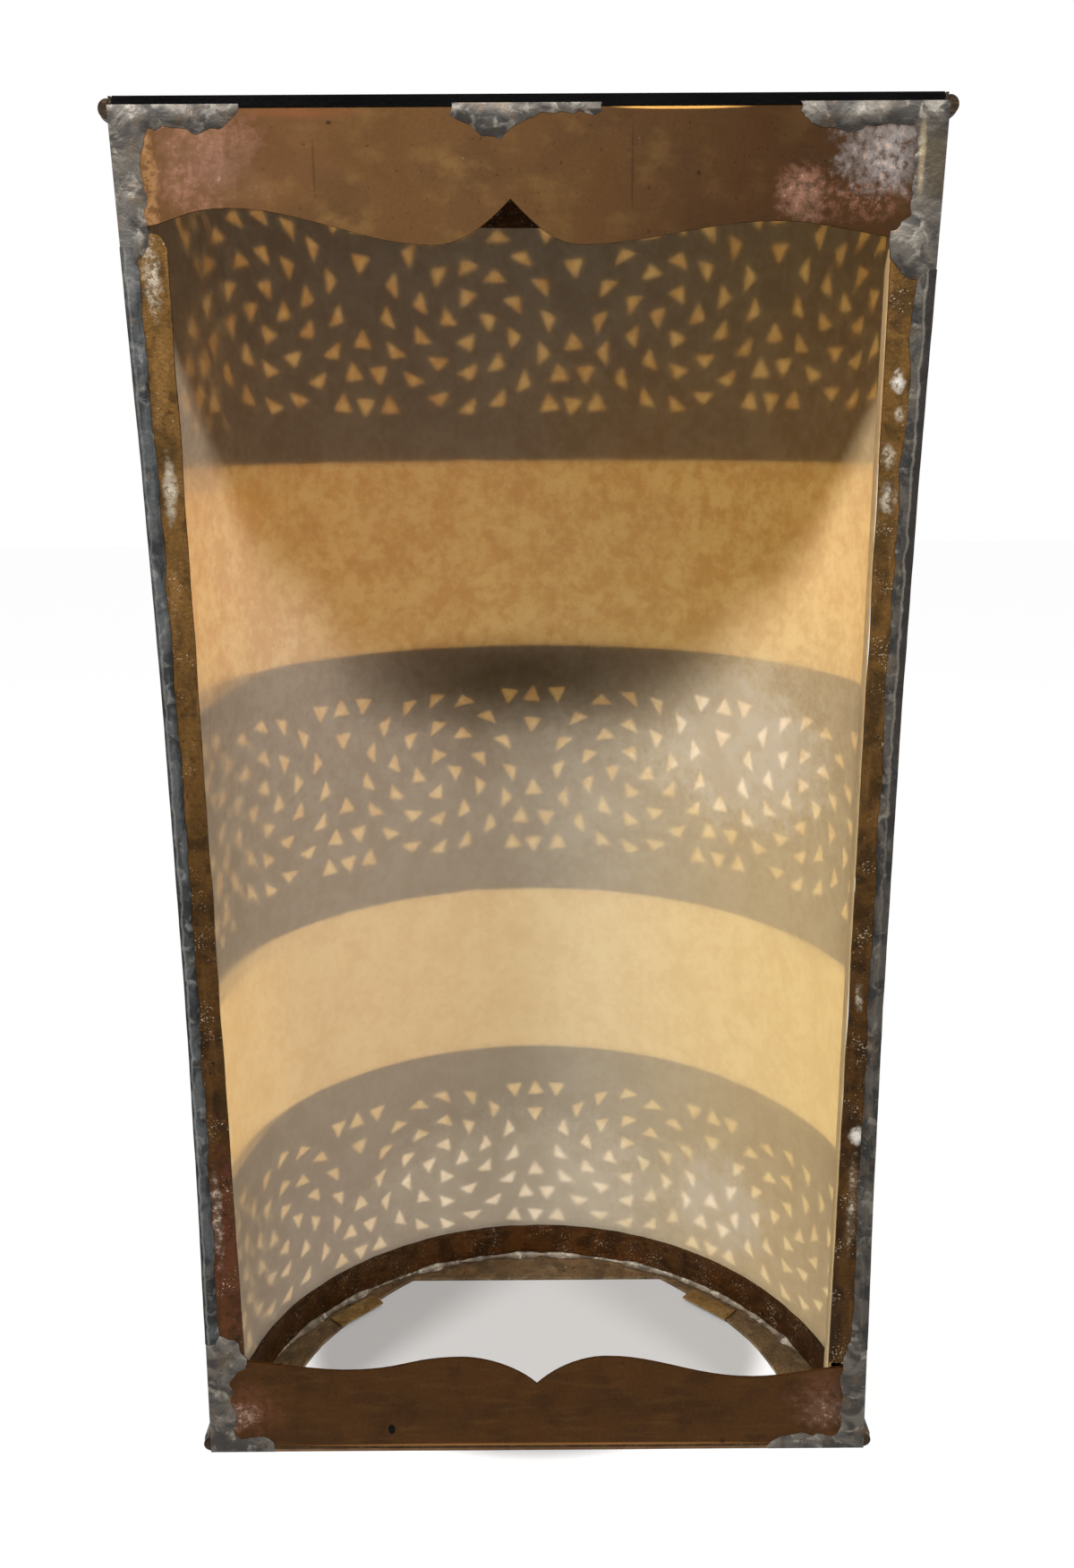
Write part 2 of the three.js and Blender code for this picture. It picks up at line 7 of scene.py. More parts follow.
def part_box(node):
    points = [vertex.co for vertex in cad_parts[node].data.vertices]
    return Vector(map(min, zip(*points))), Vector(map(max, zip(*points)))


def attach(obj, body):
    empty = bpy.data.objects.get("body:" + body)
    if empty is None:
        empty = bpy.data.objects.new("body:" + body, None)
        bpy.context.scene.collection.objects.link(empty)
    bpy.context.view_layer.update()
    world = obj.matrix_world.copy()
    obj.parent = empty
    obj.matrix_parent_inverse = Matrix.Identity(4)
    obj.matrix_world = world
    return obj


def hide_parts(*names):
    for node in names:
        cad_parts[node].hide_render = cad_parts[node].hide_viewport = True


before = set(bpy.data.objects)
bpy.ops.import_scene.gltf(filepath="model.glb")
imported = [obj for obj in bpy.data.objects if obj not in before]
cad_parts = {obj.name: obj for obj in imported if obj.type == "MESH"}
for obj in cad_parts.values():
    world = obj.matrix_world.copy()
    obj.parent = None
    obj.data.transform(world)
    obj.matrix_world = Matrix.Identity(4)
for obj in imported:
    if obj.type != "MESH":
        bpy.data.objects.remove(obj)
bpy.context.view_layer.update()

# The plan that every curved piece follows: a half round, then a short straight run to the wall
shell = {
    "radius": 0.114,
    "reach": 0.004,
    "waist": 0.0029,
    "gap": 0.0003,
    "bandSkin": 0.0008,
    "sheetSkin": 0.0006,
    "stripSkin": 0.0008,
    "stripGap": 0.0008,
    "solderSide": 0.0006,  # how far past the shell the corner solder stands
}
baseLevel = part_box("bottom_end_ring")[0].z
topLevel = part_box("top_cap")[1].z
waistLevels = [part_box(node)[side].z for node in ("bottom_band", "middle_band", "top_band") for side in (0, 1)]
waistShares = [0, 0.72, 1, 1, 0.72, 0]
quarterRun = math.pi / 2 * shell["radius"]
fullRun = quarterRun + shell["reach"]
cornerEdge = shell["radius"] + shell["solderSide"]
sheetInset = shell["bandSkin"] + shell["gap"]
stripInset = sheetInset + shell["sheetSkin"] + shell["stripGap"]


def waistAt(z):
    for i in range(1, len(waistLevels)):
        if z <= waistLevels[i] or i == len(waistLevels) - 1:
            t = (z - waistLevels[i - 1]) / (waistLevels[i] - waistLevels[i - 1])
            return shell["waist"] * (waistShares[i - 1] + (waistShares[i] - waistShares[i - 1]) * t)


def bowed(x, y, z, still=0.0, full=shell["radius"]):
    # The waist moves nothing at still and all at full, and a little more outside the shell
    share = min(1.05, max(0.0, (abs(x) - still) / (full - still)))
    return Vector((x - math.copysign(share * waistAt(z), x), y, z))


def planPoint(along, inset):
    # along is the distance round from the front, and past the half round it runs straight back
    turn = max(-quarterRun, min(quarterRun, along)) / shell["radius"]
    radius = shell["radius"] - inset
    past = max(0.0, abs(along) - quarterRun)
    return radius * math.sin(turn), past - shell["reach"] - radius * math.cos(turn)


def smooth(value, low, high):
    t = min(1.0, max(0.0, (value - low) / (high - low)))
    return t * t * (3 - 2 * t)


def unevenness(x, y, z, size):
    return noise.noise(Vector((x, y, z)) / size)


def mirrored(side, p):
    return Vector((side * p.x, p.y, p.z))


def levels(node):
    # The heights of a solid's bottom and top
    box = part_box(node)
    return box[0].z, box[1].z


# Mesh helpers
def inScene(name, data):
    made = bpy.data.objects.new(name, data)
    bpy.context.scene.collection.objects.link(made)
    return made


def addPiece(name, verts, faces, finish, nodes, slot, sharpAngle=35):
    mesh = bpy.data.meshes.new(name)
    mesh.from_pydata(verts, [], faces)
    mesh.validate()
    mesh.shade_smooth()
    mesh.set_sharp_from_angle(angle=math.radians(sharpAngle))
    mesh.materials.append(finish)
    piece = inScene(name, mesh)
    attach(piece, "root")
    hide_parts(*nodes)
    return piece


def slab(pattern, front, back):
    # A thin closed piece from a flat pattern: its two faces and the wall round every edge
    places, flatFaces = pattern
    count = len(places)
    verts = [front(*p) for p in places] + [back(*p) for p in places]
    faces = [tuple(f) for f in flatFaces] + [tuple(count + i for i in reversed(f)) for f in flatFaces]
    openEdges = {}
    for f in flatFaces:
        for a, b in zip(f, tuple(f[1:]) + (f[0],)):
            if openEdges.pop((b, a), None) is None:
                openEdges[(a, b)] = True
    faces += [(b, a, count + a, count + b) for a, b in openEdges]
    return verts, faces


def gridPattern(us, vs):
    places = [(u, v) for v in vs for u in us]
    wide = len(us)
    faces = [
        (j * wide + i, j * wide + i + 1, (j + 1) * wide + i + 1, (j + 1) * wide + i)
        for j in range(len(vs) - 1)
        for i in range(wide - 1)
    ]
    return places, faces


def spread(low, high, step):
    count = max(1, round((high - low) / step))
    return [low + (high - low) * i / count for i in range(count + 1)]


def resample(loop, step):
    made = []
    for a, b in zip(loop, loop[1:] + loop[:1]):
        parts = max(1, round((Vector(b) - Vector(a)).length / step))
        made += [tuple(Vector(a).lerp(Vector(b), k / parts)) for k in range(parts)]
    return made


def treeOf(points):
    # Finds the nearest of some flat points
    tree = kdtree.KDTree(len(points))
    for i, p in enumerate(points):
        tree.insert((p[0], p[1], 0), i)
    tree.balance()
    return tree


def cutPattern(outline, holes, step, clear):
    # A flat pattern with holes, filled with points about one step apart
    verts, faces, marks = [], [], []
    for loop in [outline, *holes]:
        faces.append(list(range(len(verts), len(verts) + len(loop))))
        verts += [Vector(p) for p in loop]
        marks += resample(loop, clear)
    edges = treeOf(marks)
    us = [p[0] for p in outline]
    vs = [p[1] for p in outline]
    stagger = 0.25 * step  # every other row of points is moved along by this
    for j, v in enumerate(spread(min(vs), max(vs), step)):
        for u in spread(min(us), max(us), step):
            place = Vector((u + stagger * (j % 2), v))
            if edges.find((place.x, place.y, 0))[2] > clear:
                verts.append(place)
    found = delaunay_2d_cdt(verts, [], faces, 1, 1e-7)
    kept = [tuple(f) for f, origin in zip(found[2], found[5]) if origin and max(origin) == 0]
    return [tuple(p) for p in found[0]], kept


# Repeatable wander from -1 to 1 for hand work, the same as in the solids
def wander(seed):
    wave = math.sin(seed * 12.9898) * 43758.5453
    return 2 * (wave - math.floor(wave)) - 1


# Shader helpers
def paint(red, green, blue):
    # A colour as seen on screen, from 0 to 255, as Blender's own linear colour
    def linear(c):
        c /= 255
        return c / 12.92 if c <= 0.04045 else ((c + 0.055) / 1.055) ** 2.4

    return (linear(red), linear(green), linear(blue), 1.0)


class Wiring:
    # Adds nodes to a tree; an input may be a value or another node's socket
    def __init__(self, tree):
        self.tree = tree

    def feed(self, socket, value):
        if isinstance(value, bpy.types.NodeSocket):
            self.tree.links.new(value, socket)
        else:
            socket.default_value = value

    def add(self, kind, inputs=None, **settings):
        made = self.tree.nodes.new("ShaderNode" + kind)
        for key, value in settings.items():
            setattr(made, key, value)
        for key, value in (inputs or {}).items():
            self.feed(made.inputs[key], value)
        return made

    def group(self, tree, inputs):
        return self.add("Group", inputs, node_tree=tree).outputs

    def math(self, operation, a, b=0.0, clamp=False):
        return self.add("Math", {0: a, 1: b}, operation=operation, use_clamp=clamp).outputs[0]

    def plus(self, a, b):
        return self.math("ADD", a, b)

    def less(self, a, b):
        return self.math("SUBTRACT", a, b)

    def times(self, a, b):
        return self.math("MULTIPLY", a, b)

    def vector(self, operation, a, b=(0.0, 0.0, 0.0)):
        return self.add("VectorMath", {0: a, 1: b}, operation=operation).outputs

    def axes(self, vector):
        return self.add("SeparateXYZ", {0: vector}).outputs

    def noise(self, vector, size, detail=4.0, rough=0.55, warp=0.0):
        scale = self.math("DIVIDE", 1.0, size) if isinstance(size, bpy.types.NodeSocket) else 1 / size
        inputs = {"Vector": vector, "Scale": scale, "Detail": detail, "Roughness": rough, "Distortion": warp}
        return self.add("TexNoise", inputs).outputs["Fac"]

    def stretch(self, vector, factors):
        return self.vector("MULTIPLY", vector, factors)[0]

    def step(self, value, low, high, first=0.0, last=1.0):
        inputs = {"Value": value, "From Min": low, "From Max": high, "To Min": first, "To Max": last}
        return self.add("MapRange", inputs, interpolation_type="SMOOTHSTEP").outputs["Result"]

    def mix(self, share, a, b, blend="MIX"):
        made = self.add("Mix", data_type="RGBA", blend_type=blend)
        for key, value in (("Factor_Float", share), ("A_Color", a), ("B_Color", b)):
            self.feed(next(s for s in made.inputs if s.identifier == key), value)
        return next(s for s in made.outputs if s.identifier == "Result_Color")

    def tinted(self, share, color, tone):
        return self.mix(share, color, self.mix(1.0, color, tone, "MULTIPLY"))


def newGroup(name, inputs, outputs):
    # An input's own value says what kind of socket it is
    tree = bpy.data.node_groups.new(name, "ShaderNodeTree")
    for label, value in inputs.items():
        kind = "Float" if isinstance(value, float) else {3: "Vector", 4: "Color"}[len(value)]
        socket = tree.interface.new_socket(name=label, in_out="INPUT", socket_type="NodeSocket" + kind)
        socket.default_value = value
    for label, kind in outputs.items():
        tree.interface.new_socket(name=label, in_out="OUTPUT", socket_type="NodeSocket" + kind)
    wires = Wiring(tree)
    return tree, wires, tree.nodes.new("NodeGroupInput").outputs, tree.nodes.new("NodeGroupOutput").inputs


# In the groups and finishes below a noise's size is in metres. A step's first two values are the noise
# between which its mask rises, and two more are what it rises from and to.
tarnishSettings = {
    "patchStep": (0.36, 0.62),
    "grainSize": 0.0011,
    "grainStep": (0.25, 0.75, -0.2, 0.18),
    "rubSize": 0.006,
    "rubStep": (0.48, 0.72),
    "fleckSize": 0.0016,
    "fleckStep": (0.64, 0.71),
    "fleckColor": paint(28, 18, 10),
    "roughness": (0.3, 0.7, 0.58, 0.36),
    "grainRelief": 0.35,
    "patchRelief": 0.65,
}


def tarnishGroup():
    # Old brass: cloudy patches, fine grain and short rubbed streaks
    tree, wires, given, out = newGroup(
        "brassTarnish",
        {
            "Vector": (0, 0, 0),
            "Dark": paint(60, 40, 20),
            "Middle": paint(110, 75, 40),
            "Bright": paint(150, 110, 60),
            "Patch Size": 0.014,
            "Bright Share": 0.4,
            "Streak": (1, 1, 7),
            "Grain": 1.0,
            "Flecks": 0.3,
        },
        {"Color": "Color", "Roughness": "Float", "Height": "Float"},
    )
    s, place = tarnishSettings, given["Vector"]
    patches = wires.noise(place, given["Patch Size"], 6.0, 0.5, 0.6)
    grain = wires.noise(place, s["grainSize"], 3.0)
    rubbed = wires.noise(wires.stretch(place, given["Streak"]), s["rubSize"], 3.0)
    body = wires.mix(wires.step(patches, *s["patchStep"]), given["Dark"], given["Middle"])
    lit = wires.times(wires.step(rubbed, *s["rubStep"]), given["Bright Share"])
    body = wires.mix(lit, body, given["Bright"])
    tone = wires.plus(wires.times(wires.step(grain, *s["grainStep"]), given["Grain"]), 1.0)
    grey = wires.add("CombineColor", {0: tone, 1: tone, 2: tone}).outputs[0]
    body = wires.mix(1.0, body, grey, "MULTIPLY")
    fleck = wires.step(wires.noise(place, s["fleckSize"], 2.0), *s["fleckStep"])
    body = wires.mix(wires.times(fleck, given["Flecks"]), body, s["fleckColor"])
    tree.links.new(body, out["Color"])
    tree.links.new(wires.step(patches, *s["roughness"]), out["Roughness"])
    relief = wires.plus(wires.times(grain, s["grainRelief"]), wires.times(patches, s["patchRelief"]))
    tree.links.new(relief, out["Height"])
    return tree


specksSettings = {"driftSize": 0.011, "bareLevel": 0.95, "perAmount": 0.4, "contrast": 14.0}


def specksGroup():
    # Pale flux specks and crust that gather in drifts
    tree, wires, given, out = newGroup(
        "fluxSpecks",
        {"Vector": (0, 0, 0), "Speck Size": 0.0012, "Amount": 0.5, "Drift": 1.1},
        {"Mask": "Float"},
    )
    specks = wires.noise(given["Vector"], given["Speck Size"], 2.0, 0.5)
    s = specksSettings
    drifts = wires.noise(given["Vector"], s["driftSize"], 3.0)
    level = wires.less(s["bareLevel"], wires.times(given["Amount"], s["perAmount"]))
    both = wires.plus(specks, wires.times(wires.less(drifts, 0.5), given["Drift"]))
    over = wires.less(both, level)
    tree.links.new(wires.math("MULTIPLY", over, s["contrast"], clamp=True), out["Mask"])
    return tree


patchSettings = {"raggedSize": 0.008, "frayedSize": 0.0022, "crumble": 0.65, "frayed": 0.8, "outline": 2.0}


def patchGroup():
    # One soft-edged patch with a broken outline, for stains, blooms, marks and painted light and shade in their
    # own places
    tree, wires, given, out = newGroup(
        "softPatch",
        {
            "Vector": (0, 0, 0),
            "Centre": (0, 0, 0),
            "Reach": (0.01, 0.01, 0.01),
            "Ragged": 0.5,
            "Softness": 0.3,
        },
        {"Mask": "Float"},
    )
    s, place = patchSettings, given["Vector"]
    offset = wires.vector("SUBTRACT", place, given["Centre"])[0]
    distance = wires.vector("LENGTH", wires.vector("DIVIDE", offset, given["Reach"])[0])["Value"]
    ragged = wires.less(wires.noise(place, s["raggedSize"], 5.0, s["crumble"]), 0.5)
    frayed = wires.less(wires.noise(place, s["frayedSize"], 4.0, s["crumble"]), 0.5)
    ragged = wires.plus(ragged, wires.times(frayed, s["frayed"]))
    edge = wires.plus(distance, wires.times(ragged, wires.times(given["Ragged"], s["outline"])))
    inside = wires.math("DIVIDE", wires.math("SUBTRACT", 1.0, edge), given["Softness"], clamp=True)
    tree.links.new(inside, out["Mask"])
    return tree


tarnish = tarnishGroup()
specks = specksGroup()
patch = patchGroup()
white = (1.0, 1.0, 1.0, 1.0)


def newMaterial(name):
    material = bpy.data.materials.new(name)
    material.use_nodes = True
    wires = Wiring(material.node_tree)
    shader = material.node_tree.nodes["Principled BSDF"]
    place = wires.add("TexCoord").outputs["Object"]
    return material, wires, shader, place


def bumpInto(wires, shader, height, depth):
    made = wires.add("Bump", {"Height": height, "Distance": depth, "Strength": 1.0})
    wires.feed(shader.inputs["Normal"], made.outputs["Normal"])


def surface(wires, shown):
    # Gives a tree's output what it shows
    output = "World Output" if "World Output" in wires.tree.nodes else "Material Output"
    wires.feed(wires.tree.nodes[output].inputs["Surface"], shown)


def patchMask(wires, place, centre, reach, ragged, softness):
    given = {"Vector": place, "Centre": centre, "Reach": reach, "Ragged": ragged, "Softness": softness}
    return wires.group(patch, given)["Mask"]


# What a brass finish has unless its look says otherwise
plainBrass = {"streak": (1, 1, 7), "grain": 1.0, "flecks": 0.3, "drift": 1.1, "fades": (), "overlays": ()}
# Each of these inputs of the tarnish takes the look's value of the same name
brassInputs = ("Dark", "Middle", "Bright", "Patch Size", "Bright Share", "Streak", "Grain", "Flecks")


# How a grainy stain breaks up, and what flux crust does to the metal under it
brassSettings = {
    "mottleSize": 0.0026,
    "mottleStep": (0.64, 0.74),
    "mottleShift": 0.24,
    "betweenGrains": 0.12,
    "onGrains": 0.88,
    "crustDull": 0.35,
    "crustMetal": 0.8,
    "crustRelief": 0.5,
}


def agedBrass(name, look):
    # Tarnished brass, with stains and a few painted highlights and shades laid over it one by one, and flux
    # specks last
    material, wires, shader, place = newMaterial(name)
    s, look = brassSettings, {**plainBrass, **look}
    given = {label: look[label[0].lower() + label[1:].replace(" ", "")] for label in brassInputs}
    metal = wires.group(tarnish, {"Vector": place, **given})
    color = metal["Color"]
    for axis, low, high, tone in look["fades"]:
        # Darker towards one end
        color = wires.tinted(wires.step(wires.axes(place)[axis], low, high, 1.0, 0.0), color, tone)
    for overlay in look["overlays"]:
        grainy = overlay.get("grainy")
        ragged = overlay.get("ragged", 0.8 if grainy else 0.5)
        softness = overlay.get("softness", 0.8 if grainy else 0.4)
        mask = patchMask(wires, place, overlay["centre"], overlay["reach"], ragged, softness)
        share = wires.times(mask, overlay.get("strength", 0.8))
        if grainy:
            # The higher it is, the more of the patch its grains cover
            mottle = wires.noise(place, s["mottleSize"], 6.0, 0.74)
            broken = wires.step(mottle, *(level - s["mottleShift"] * grainy for level in s["mottleStep"]))
            broken = wires.plus(wires.times(broken, s["onGrains"]), s["betweenGrains"])
            share = wires.times(share, broken)
        color = wires.mix(share, color, overlay["color"])
    given = {"Speck Size": look["speckSize"], "Amount": look["specks"], "Drift": look["drift"]}
    crust = wires.group(specks, {"Vector": place, **given})["Mask"]
    color = wires.mix(wires.times(crust, look["speckStrength"]), color, look["speckColor"])
    wires.feed(shader.inputs["Base Color"], color)
    dull = wires.times(crust, s["crustDull"])
    wires.feed(shader.inputs["Roughness"], wires.math("ADD", metal["Roughness"], dull, clamp=True))
    shine = wires.math("SUBTRACT", look["metalness"], wires.times(crust, s["crustMetal"]), clamp=True)
    wires.feed(shader.inputs["Metallic"], shine)
    relief = wires.plus(metal["Height"], wires.times(crust, s["crustRelief"]))
    bumpInto(wires, shader, relief, look["relief"])
    return material


seamEdge = {
    "ragSize": 0.006,
    "rag": 0.0024,
    "line": 0.0006,
    "lineShare": 0.45,
    "dark": 0.0007,
    "darkShare": 0.92,
}


def paintedShadeEdge(wires, place, body, look):
    # The corner's outer face, painted dark as shade where it turns away from the light, with a pale line beside
    # it
    parts = wires.axes(place)
    level = wires.times(wires.less(parts["Z"], baseLevel), math.pi / (topLevel - baseLevel))
    waisted = wires.times(wires.math("SINE", level), 1.05 * shell["waist"])
    side = wires.plus(wires.math("ABSOLUTE", parts["X"]), waisted)
    ragged = wires.less(wires.noise(place, seamEdge["ragSize"], 3.0), 0.5)
    ragged = wires.times(ragged, seamEdge["rag"])
    inward = wires.less(wires.plus(side, ragged), cornerEdge - look["edge"]["depth"])
    fade = wires.step(parts["Z"], *look["edge"]["fade"])
    line = wires.step(wires.math("ABSOLUTE", inward), 0.0, seamEdge["line"], seamEdge["lineShare"], 0.0)
    dark = wires.step(inward, 0.0, seamEdge["dark"])
    dark = wires.times(dark, wires.times(fade, seamEdge["darkShare"]))
    body = wires.mix(dark, body, look["edge"]["color"])
    return wires.mix(wires.times(line, fade), body, look["bright"])


castSettings = {
    "cloudSize": 0.007,
    "cloudStep": (0.4, 0.6),
    "fineSize": 0.0014,
    "sheenSize": 0.0044,
    "sheenStep": (0.53, 0.7),
    "stainSize": 0.0065,
    "stainStep": (0.52, 0.68),
    "crustSize": 0.0012,
    "crustShare": 0.6,
    "roughness": (0.3, 0.7, 0.66, 0.46),
    "cloudRelief": 0.8,
    "fineRelief": 0.2,
}


def solderSkin(name, look):
    s = castSettings
    material, wires, shader, place = newMaterial(name)
    clouds = wires.noise(wires.stretch(place, look["flow"]), s["cloudSize"], 4.0, 0.55, 0.7)
    fine = wires.noise(place, s["fineSize"], 3.0, 0.5)
    body = wires.mix(wires.step(clouds, *s["cloudStep"]), look["dark"], look["middle"])
    sheen = wires.step(wires.noise(place, s["sheenSize"], 4.0, 0.55, 0.6), *s["sheenStep"])
    body = wires.mix(wires.times(sheen, look["sheen"]), body, look["bright"])
    brown = wires.step(wires.noise(place, s["stainSize"], 4.0, 0.6), *s["stainStep"])
    body = wires.mix(wires.times(brown, look["stainStrength"]), body, look["overlay"])
    given = {"Vector": place, "Speck Size": s["crustSize"], "Amount": look["crust"]}
    crust = wires.group(specks, given)["Mask"]
    body = wires.mix(wires.times(crust, s["crustShare"]), body, look["crustColor"])
    for overlay in look["overlays"]:
        mask = patchMask(wires, place, overlay["centre"], overlay["reach"], 0.6, 0.6)
        body = wires.mix(wires.times(mask, overlay["strength"]), body, overlay["color"])
    if look["edge"]:
        body = paintedShadeEdge(wires, place, body, look)
    wires.feed(shader.inputs["Base Color"], body)
    shader.inputs["Metallic"].default_value = look["metalness"]
    wires.feed(shader.inputs["Roughness"], wires.step(clouds, *s["roughness"]))
    relief = wires.plus(wires.times(clouds, s["cloudRelief"]), wires.times(fine, s["fineRelief"]))
    bumpInto(wires, shader, relief, look["relief"])
    return material


def tones(dark, middle, bright):
    return {"dark": paint(*dark), "middle": paint(*middle), "bright": paint(*bright)}


def fluxed(amount, size, strength, color):
    return {"specks": amount, "speckSize": size, "speckStrength": strength, "speckColor": paint(*color)}


def onBack(x, z, wide, high, color, deep=0.01, **more):
    # A patch on the sconce's flat back, where y is 0: mostly a stain, in two places a painted highlight
    return {"centre": (x, 0.0, z), "reach": (wide, deep, high), "color": color, **more}


def acrossBack(y, z, deep, high, color, strength):
    # A dark line the whole way across, along an end's edge: painted shade at the ring, the ring's brown back
    # edge and the cap's black rear edge
    reach = (0.3, deep, high)
    return {"centre": (0.0, y, z), "reach": reach, "color": color, "strength": strength, "ragged": 0.05}


# Stains, painted highlights and painted shade are placed on the object itself: the photo's left is +X
copper, bloom, edgeHighlight = paint(126, 86, 66), paint(128, 124, 122), paint(226, 168, 88)
pale, pit, flux = paint(176, 150, 134), paint(40, 25, 13), paint(182, 172, 152)
topPlateLook = {
    **tones((77, 53, 29), (95, 66, 37), (113, 85, 48)),
    "patchSize": 0.024,
    "brightShare": 0.5,
    "streak": (0.45, 1.0, 0.7),
    "grain": 0.35,
    "metalness": 0.9,
    **fluxed(0.12, 0.0011, 0.45, (170, 150, 130)),
    "flecks": 0.4,
    "relief": 0.00006,
    "fades": [("X", -0.085, 0.03, paint(178, 170, 164))],
    "overlays": [
        onBack(0.086, 0.003, 0.034, 0.022, paint(104, 66, 42), strength=0.5, softness=0.9),
        onBack(0.084, 0.010, 0.014, 0.009, copper, grainy=0.9),
        onBack(0.092, -0.002, 0.013, 0.013, copper, grainy=0.8),
        onBack(0.088, 0.003, 0.018, 0.015, pale, grainy=0.24),
        onBack(0.1045, -0.003, 0.003, 0.018, paint(142, 104, 66), grainy=0.9, softness=0.5),
        onBack(0.062, 0.0155, 0.022, 0.0022, paint(120, 70, 42), strength=0.45, softness=0.8),
        onBack(-0.0925, -0.007, 0.014, 0.007, copper, grainy=0.7),
        onBack(-0.0975, 0.0045, 0.015, 0.012, bloom, grainy=1.0),
        onBack(-0.0955, 0.004, 0.012, 0.010, pale, grainy=0.45),
        onBack(-0.0755, -0.005, 0.008, 0.010, copper, grainy=0.9),
        onBack(-0.0755, -0.006, 0.007, 0.009, pale, grainy=0.3),
        # Painted highlight: a thin gold line where the top plate's upper edge catches the light
        onBack(-0.0415, 0.0164, 0.02, 0.0007, edgeHighlight, ragged=0.05),
        onBack(-0.0466, -0.0003, 0.0007, 0.0007, pit, ragged=0.1),
        onBack(0.0545, 0.0128, 0.0009, 0.0006, pit, ragged=0.1),
        onBack(-0.0284, 0.002, 0.0004, 0.014, pit, strength=0.4, ragged=0.03),
        onBack(0.0591, 0.002, 0.0004, 0.009, pit, strength=0.35, ragged=0.03),
    ],
}
bottomPlateLook = {
    **tones((59, 36, 12), (70, 43, 15), (87, 58, 26)),
    "patchSize": 0.015,
    "brightShare": 0.4,
    "streak": (0.35, 1.0, 2.0),
    "grain": 0.7,
    "metalness": 0.9,
    **fluxed(0.3, 0.0009, 0.45, (140, 108, 76)),
    "flecks": 0.45,
    "relief": 0.00006,
    "overlays": [
        onBack(0.1, -0.3985, 0.013, 0.013, paint(98, 60, 42), grainy=0.9),
        onBack(0.1035, -0.4005, 0.0085, 0.006, paint(186, 160, 142), grainy=0.62),
        onBack(-0.1, -0.395, 0.015, 0.015, paint(94, 62, 46), grainy=0.9),
        onBack(-0.107, -0.39, 0.005, 0.013, paint(40, 26, 22), grainy=0.75),
        onBack(-0.1, -0.399, 0.012, 0.008, paint(164, 136, 116), grainy=0.4),
        # Painted highlight: a lighter line along the bottom plate's lower edge
        onBack(0.0, -0.4128, 0.092, 0.0006, paint(142, 98, 52), ragged=0.05),
        onBack(0.0509, -0.4063, 0.0014, 0.0022, paint(8, 6, 4), strength=1.0, ragged=0.08, softness=0.2),
        onBack(-0.0649, -0.412, 0.0011, 0.0011, pit, ragged=0.1),
    ],
}
stileLook = {
    **tones((66, 46, 18), (104, 74, 34), (136, 100, 56)),
    "patchSize": 0.009,
    "brightShare": 0.5,
    "streak": (1.0, 1.0, 0.22),
    "metalness": 0.85,
    **fluxed(0.64, 0.0007, 0.6, (160, 142, 114)),
    "drift": 0.8,
    "flecks": 0.7,
    "relief": 0.0005,
    "fades": [("Z", -0.27, -0.08, paint(176, 164, 142))],
    "overlays": [
        onBack(0.1045, -0.335, 0.012, 0.052, paint(88, 48, 30), deep=0.02, grainy=1.0),
        onBack(0.1056, -0.0272, 0.0028, 0.012, flux, grainy=0.8),
        onBack(0.1048, -0.0847, 0.0022, 0.012, flux, grainy=1.0),
        onBack(0.1065, -0.3223, 0.0022, 0.02, flux, grainy=0.6),
        onBack(-0.1046, -0.0557, 0.0022, 0.0036, paint(208, 202, 190), grainy=1.0, strength=1.0),
        onBack(-0.1056, -0.0646, 0.0016, 0.002, flux, grainy=1.0),
        onBack(-0.1033, -0.0763, 0.0024, 0.004, flux, grainy=0.9),
        onBack(-0.1037, -0.0882, 0.003, 0.006, flux, grainy=0.8),
        onBack(-0.1057, -0.294, 0.0026, 0.0042, paint(204, 198, 186), grainy=1.0, strength=1.0),
        onBack(-0.1055, -0.318, 0.0018, 0.022, flux, grainy=0.6),
        onBack(-0.1036, -0.2448, 0.0018, 0.006, flux, grainy=0.7),
        onBack(0.1043, -0.2661, 0.0008, 0.0009, paint(22, 16, 12), ragged=0.1),
        onBack(-0.1064, -0.2756, 0.0009, 0.0009, paint(34, 24, 16), ragged=0.1),
    ],
}
barredLook = {**stileLook, "fades": (), "overlays": (), "streak": (1, 1, 7)}
stripLook = {
    **barredLook,
    **tones((54, 33, 12), (79, 50, 21), (99, 67, 32)),
    **fluxed(0.72, 0.0007, 0.55, (158, 142, 120)),
    "drift": 0.5,
    "streak": (1, 1, 3),
}
ringLook = {
    **barredLook,
    **tones((100, 82, 60), (136, 114, 84), (166, 142, 106)),
    "specks": 0.4,
    "speckSize": 0.0012,
    "overlays": [
        # Painted shade: the ring's top behind the bottom plate is darkened as if in the plate's shadow
        acrossBack(-0.0065, -0.4135, 0.006, 0.004, paint(16, 11, 8), 0.8),
        # The ring's brown back edge
        acrossBack(0.0006, -0.4145, 0.001, 0.004, paint(92, 60, 34), 0.8),
        # Painted shade: a black line in the gap between the ring's back edge and the plate
        acrossBack(0.0006, -0.4139, 0.001, 0.0004, paint(10, 7, 5), 0.95),
    ],
}
rimLook = {
    **barredLook,
    **tones((26, 20, 16), (52, 40, 28), (96, 74, 48)),
    "specks": 0.2,
    "relief": 0.0004,
}
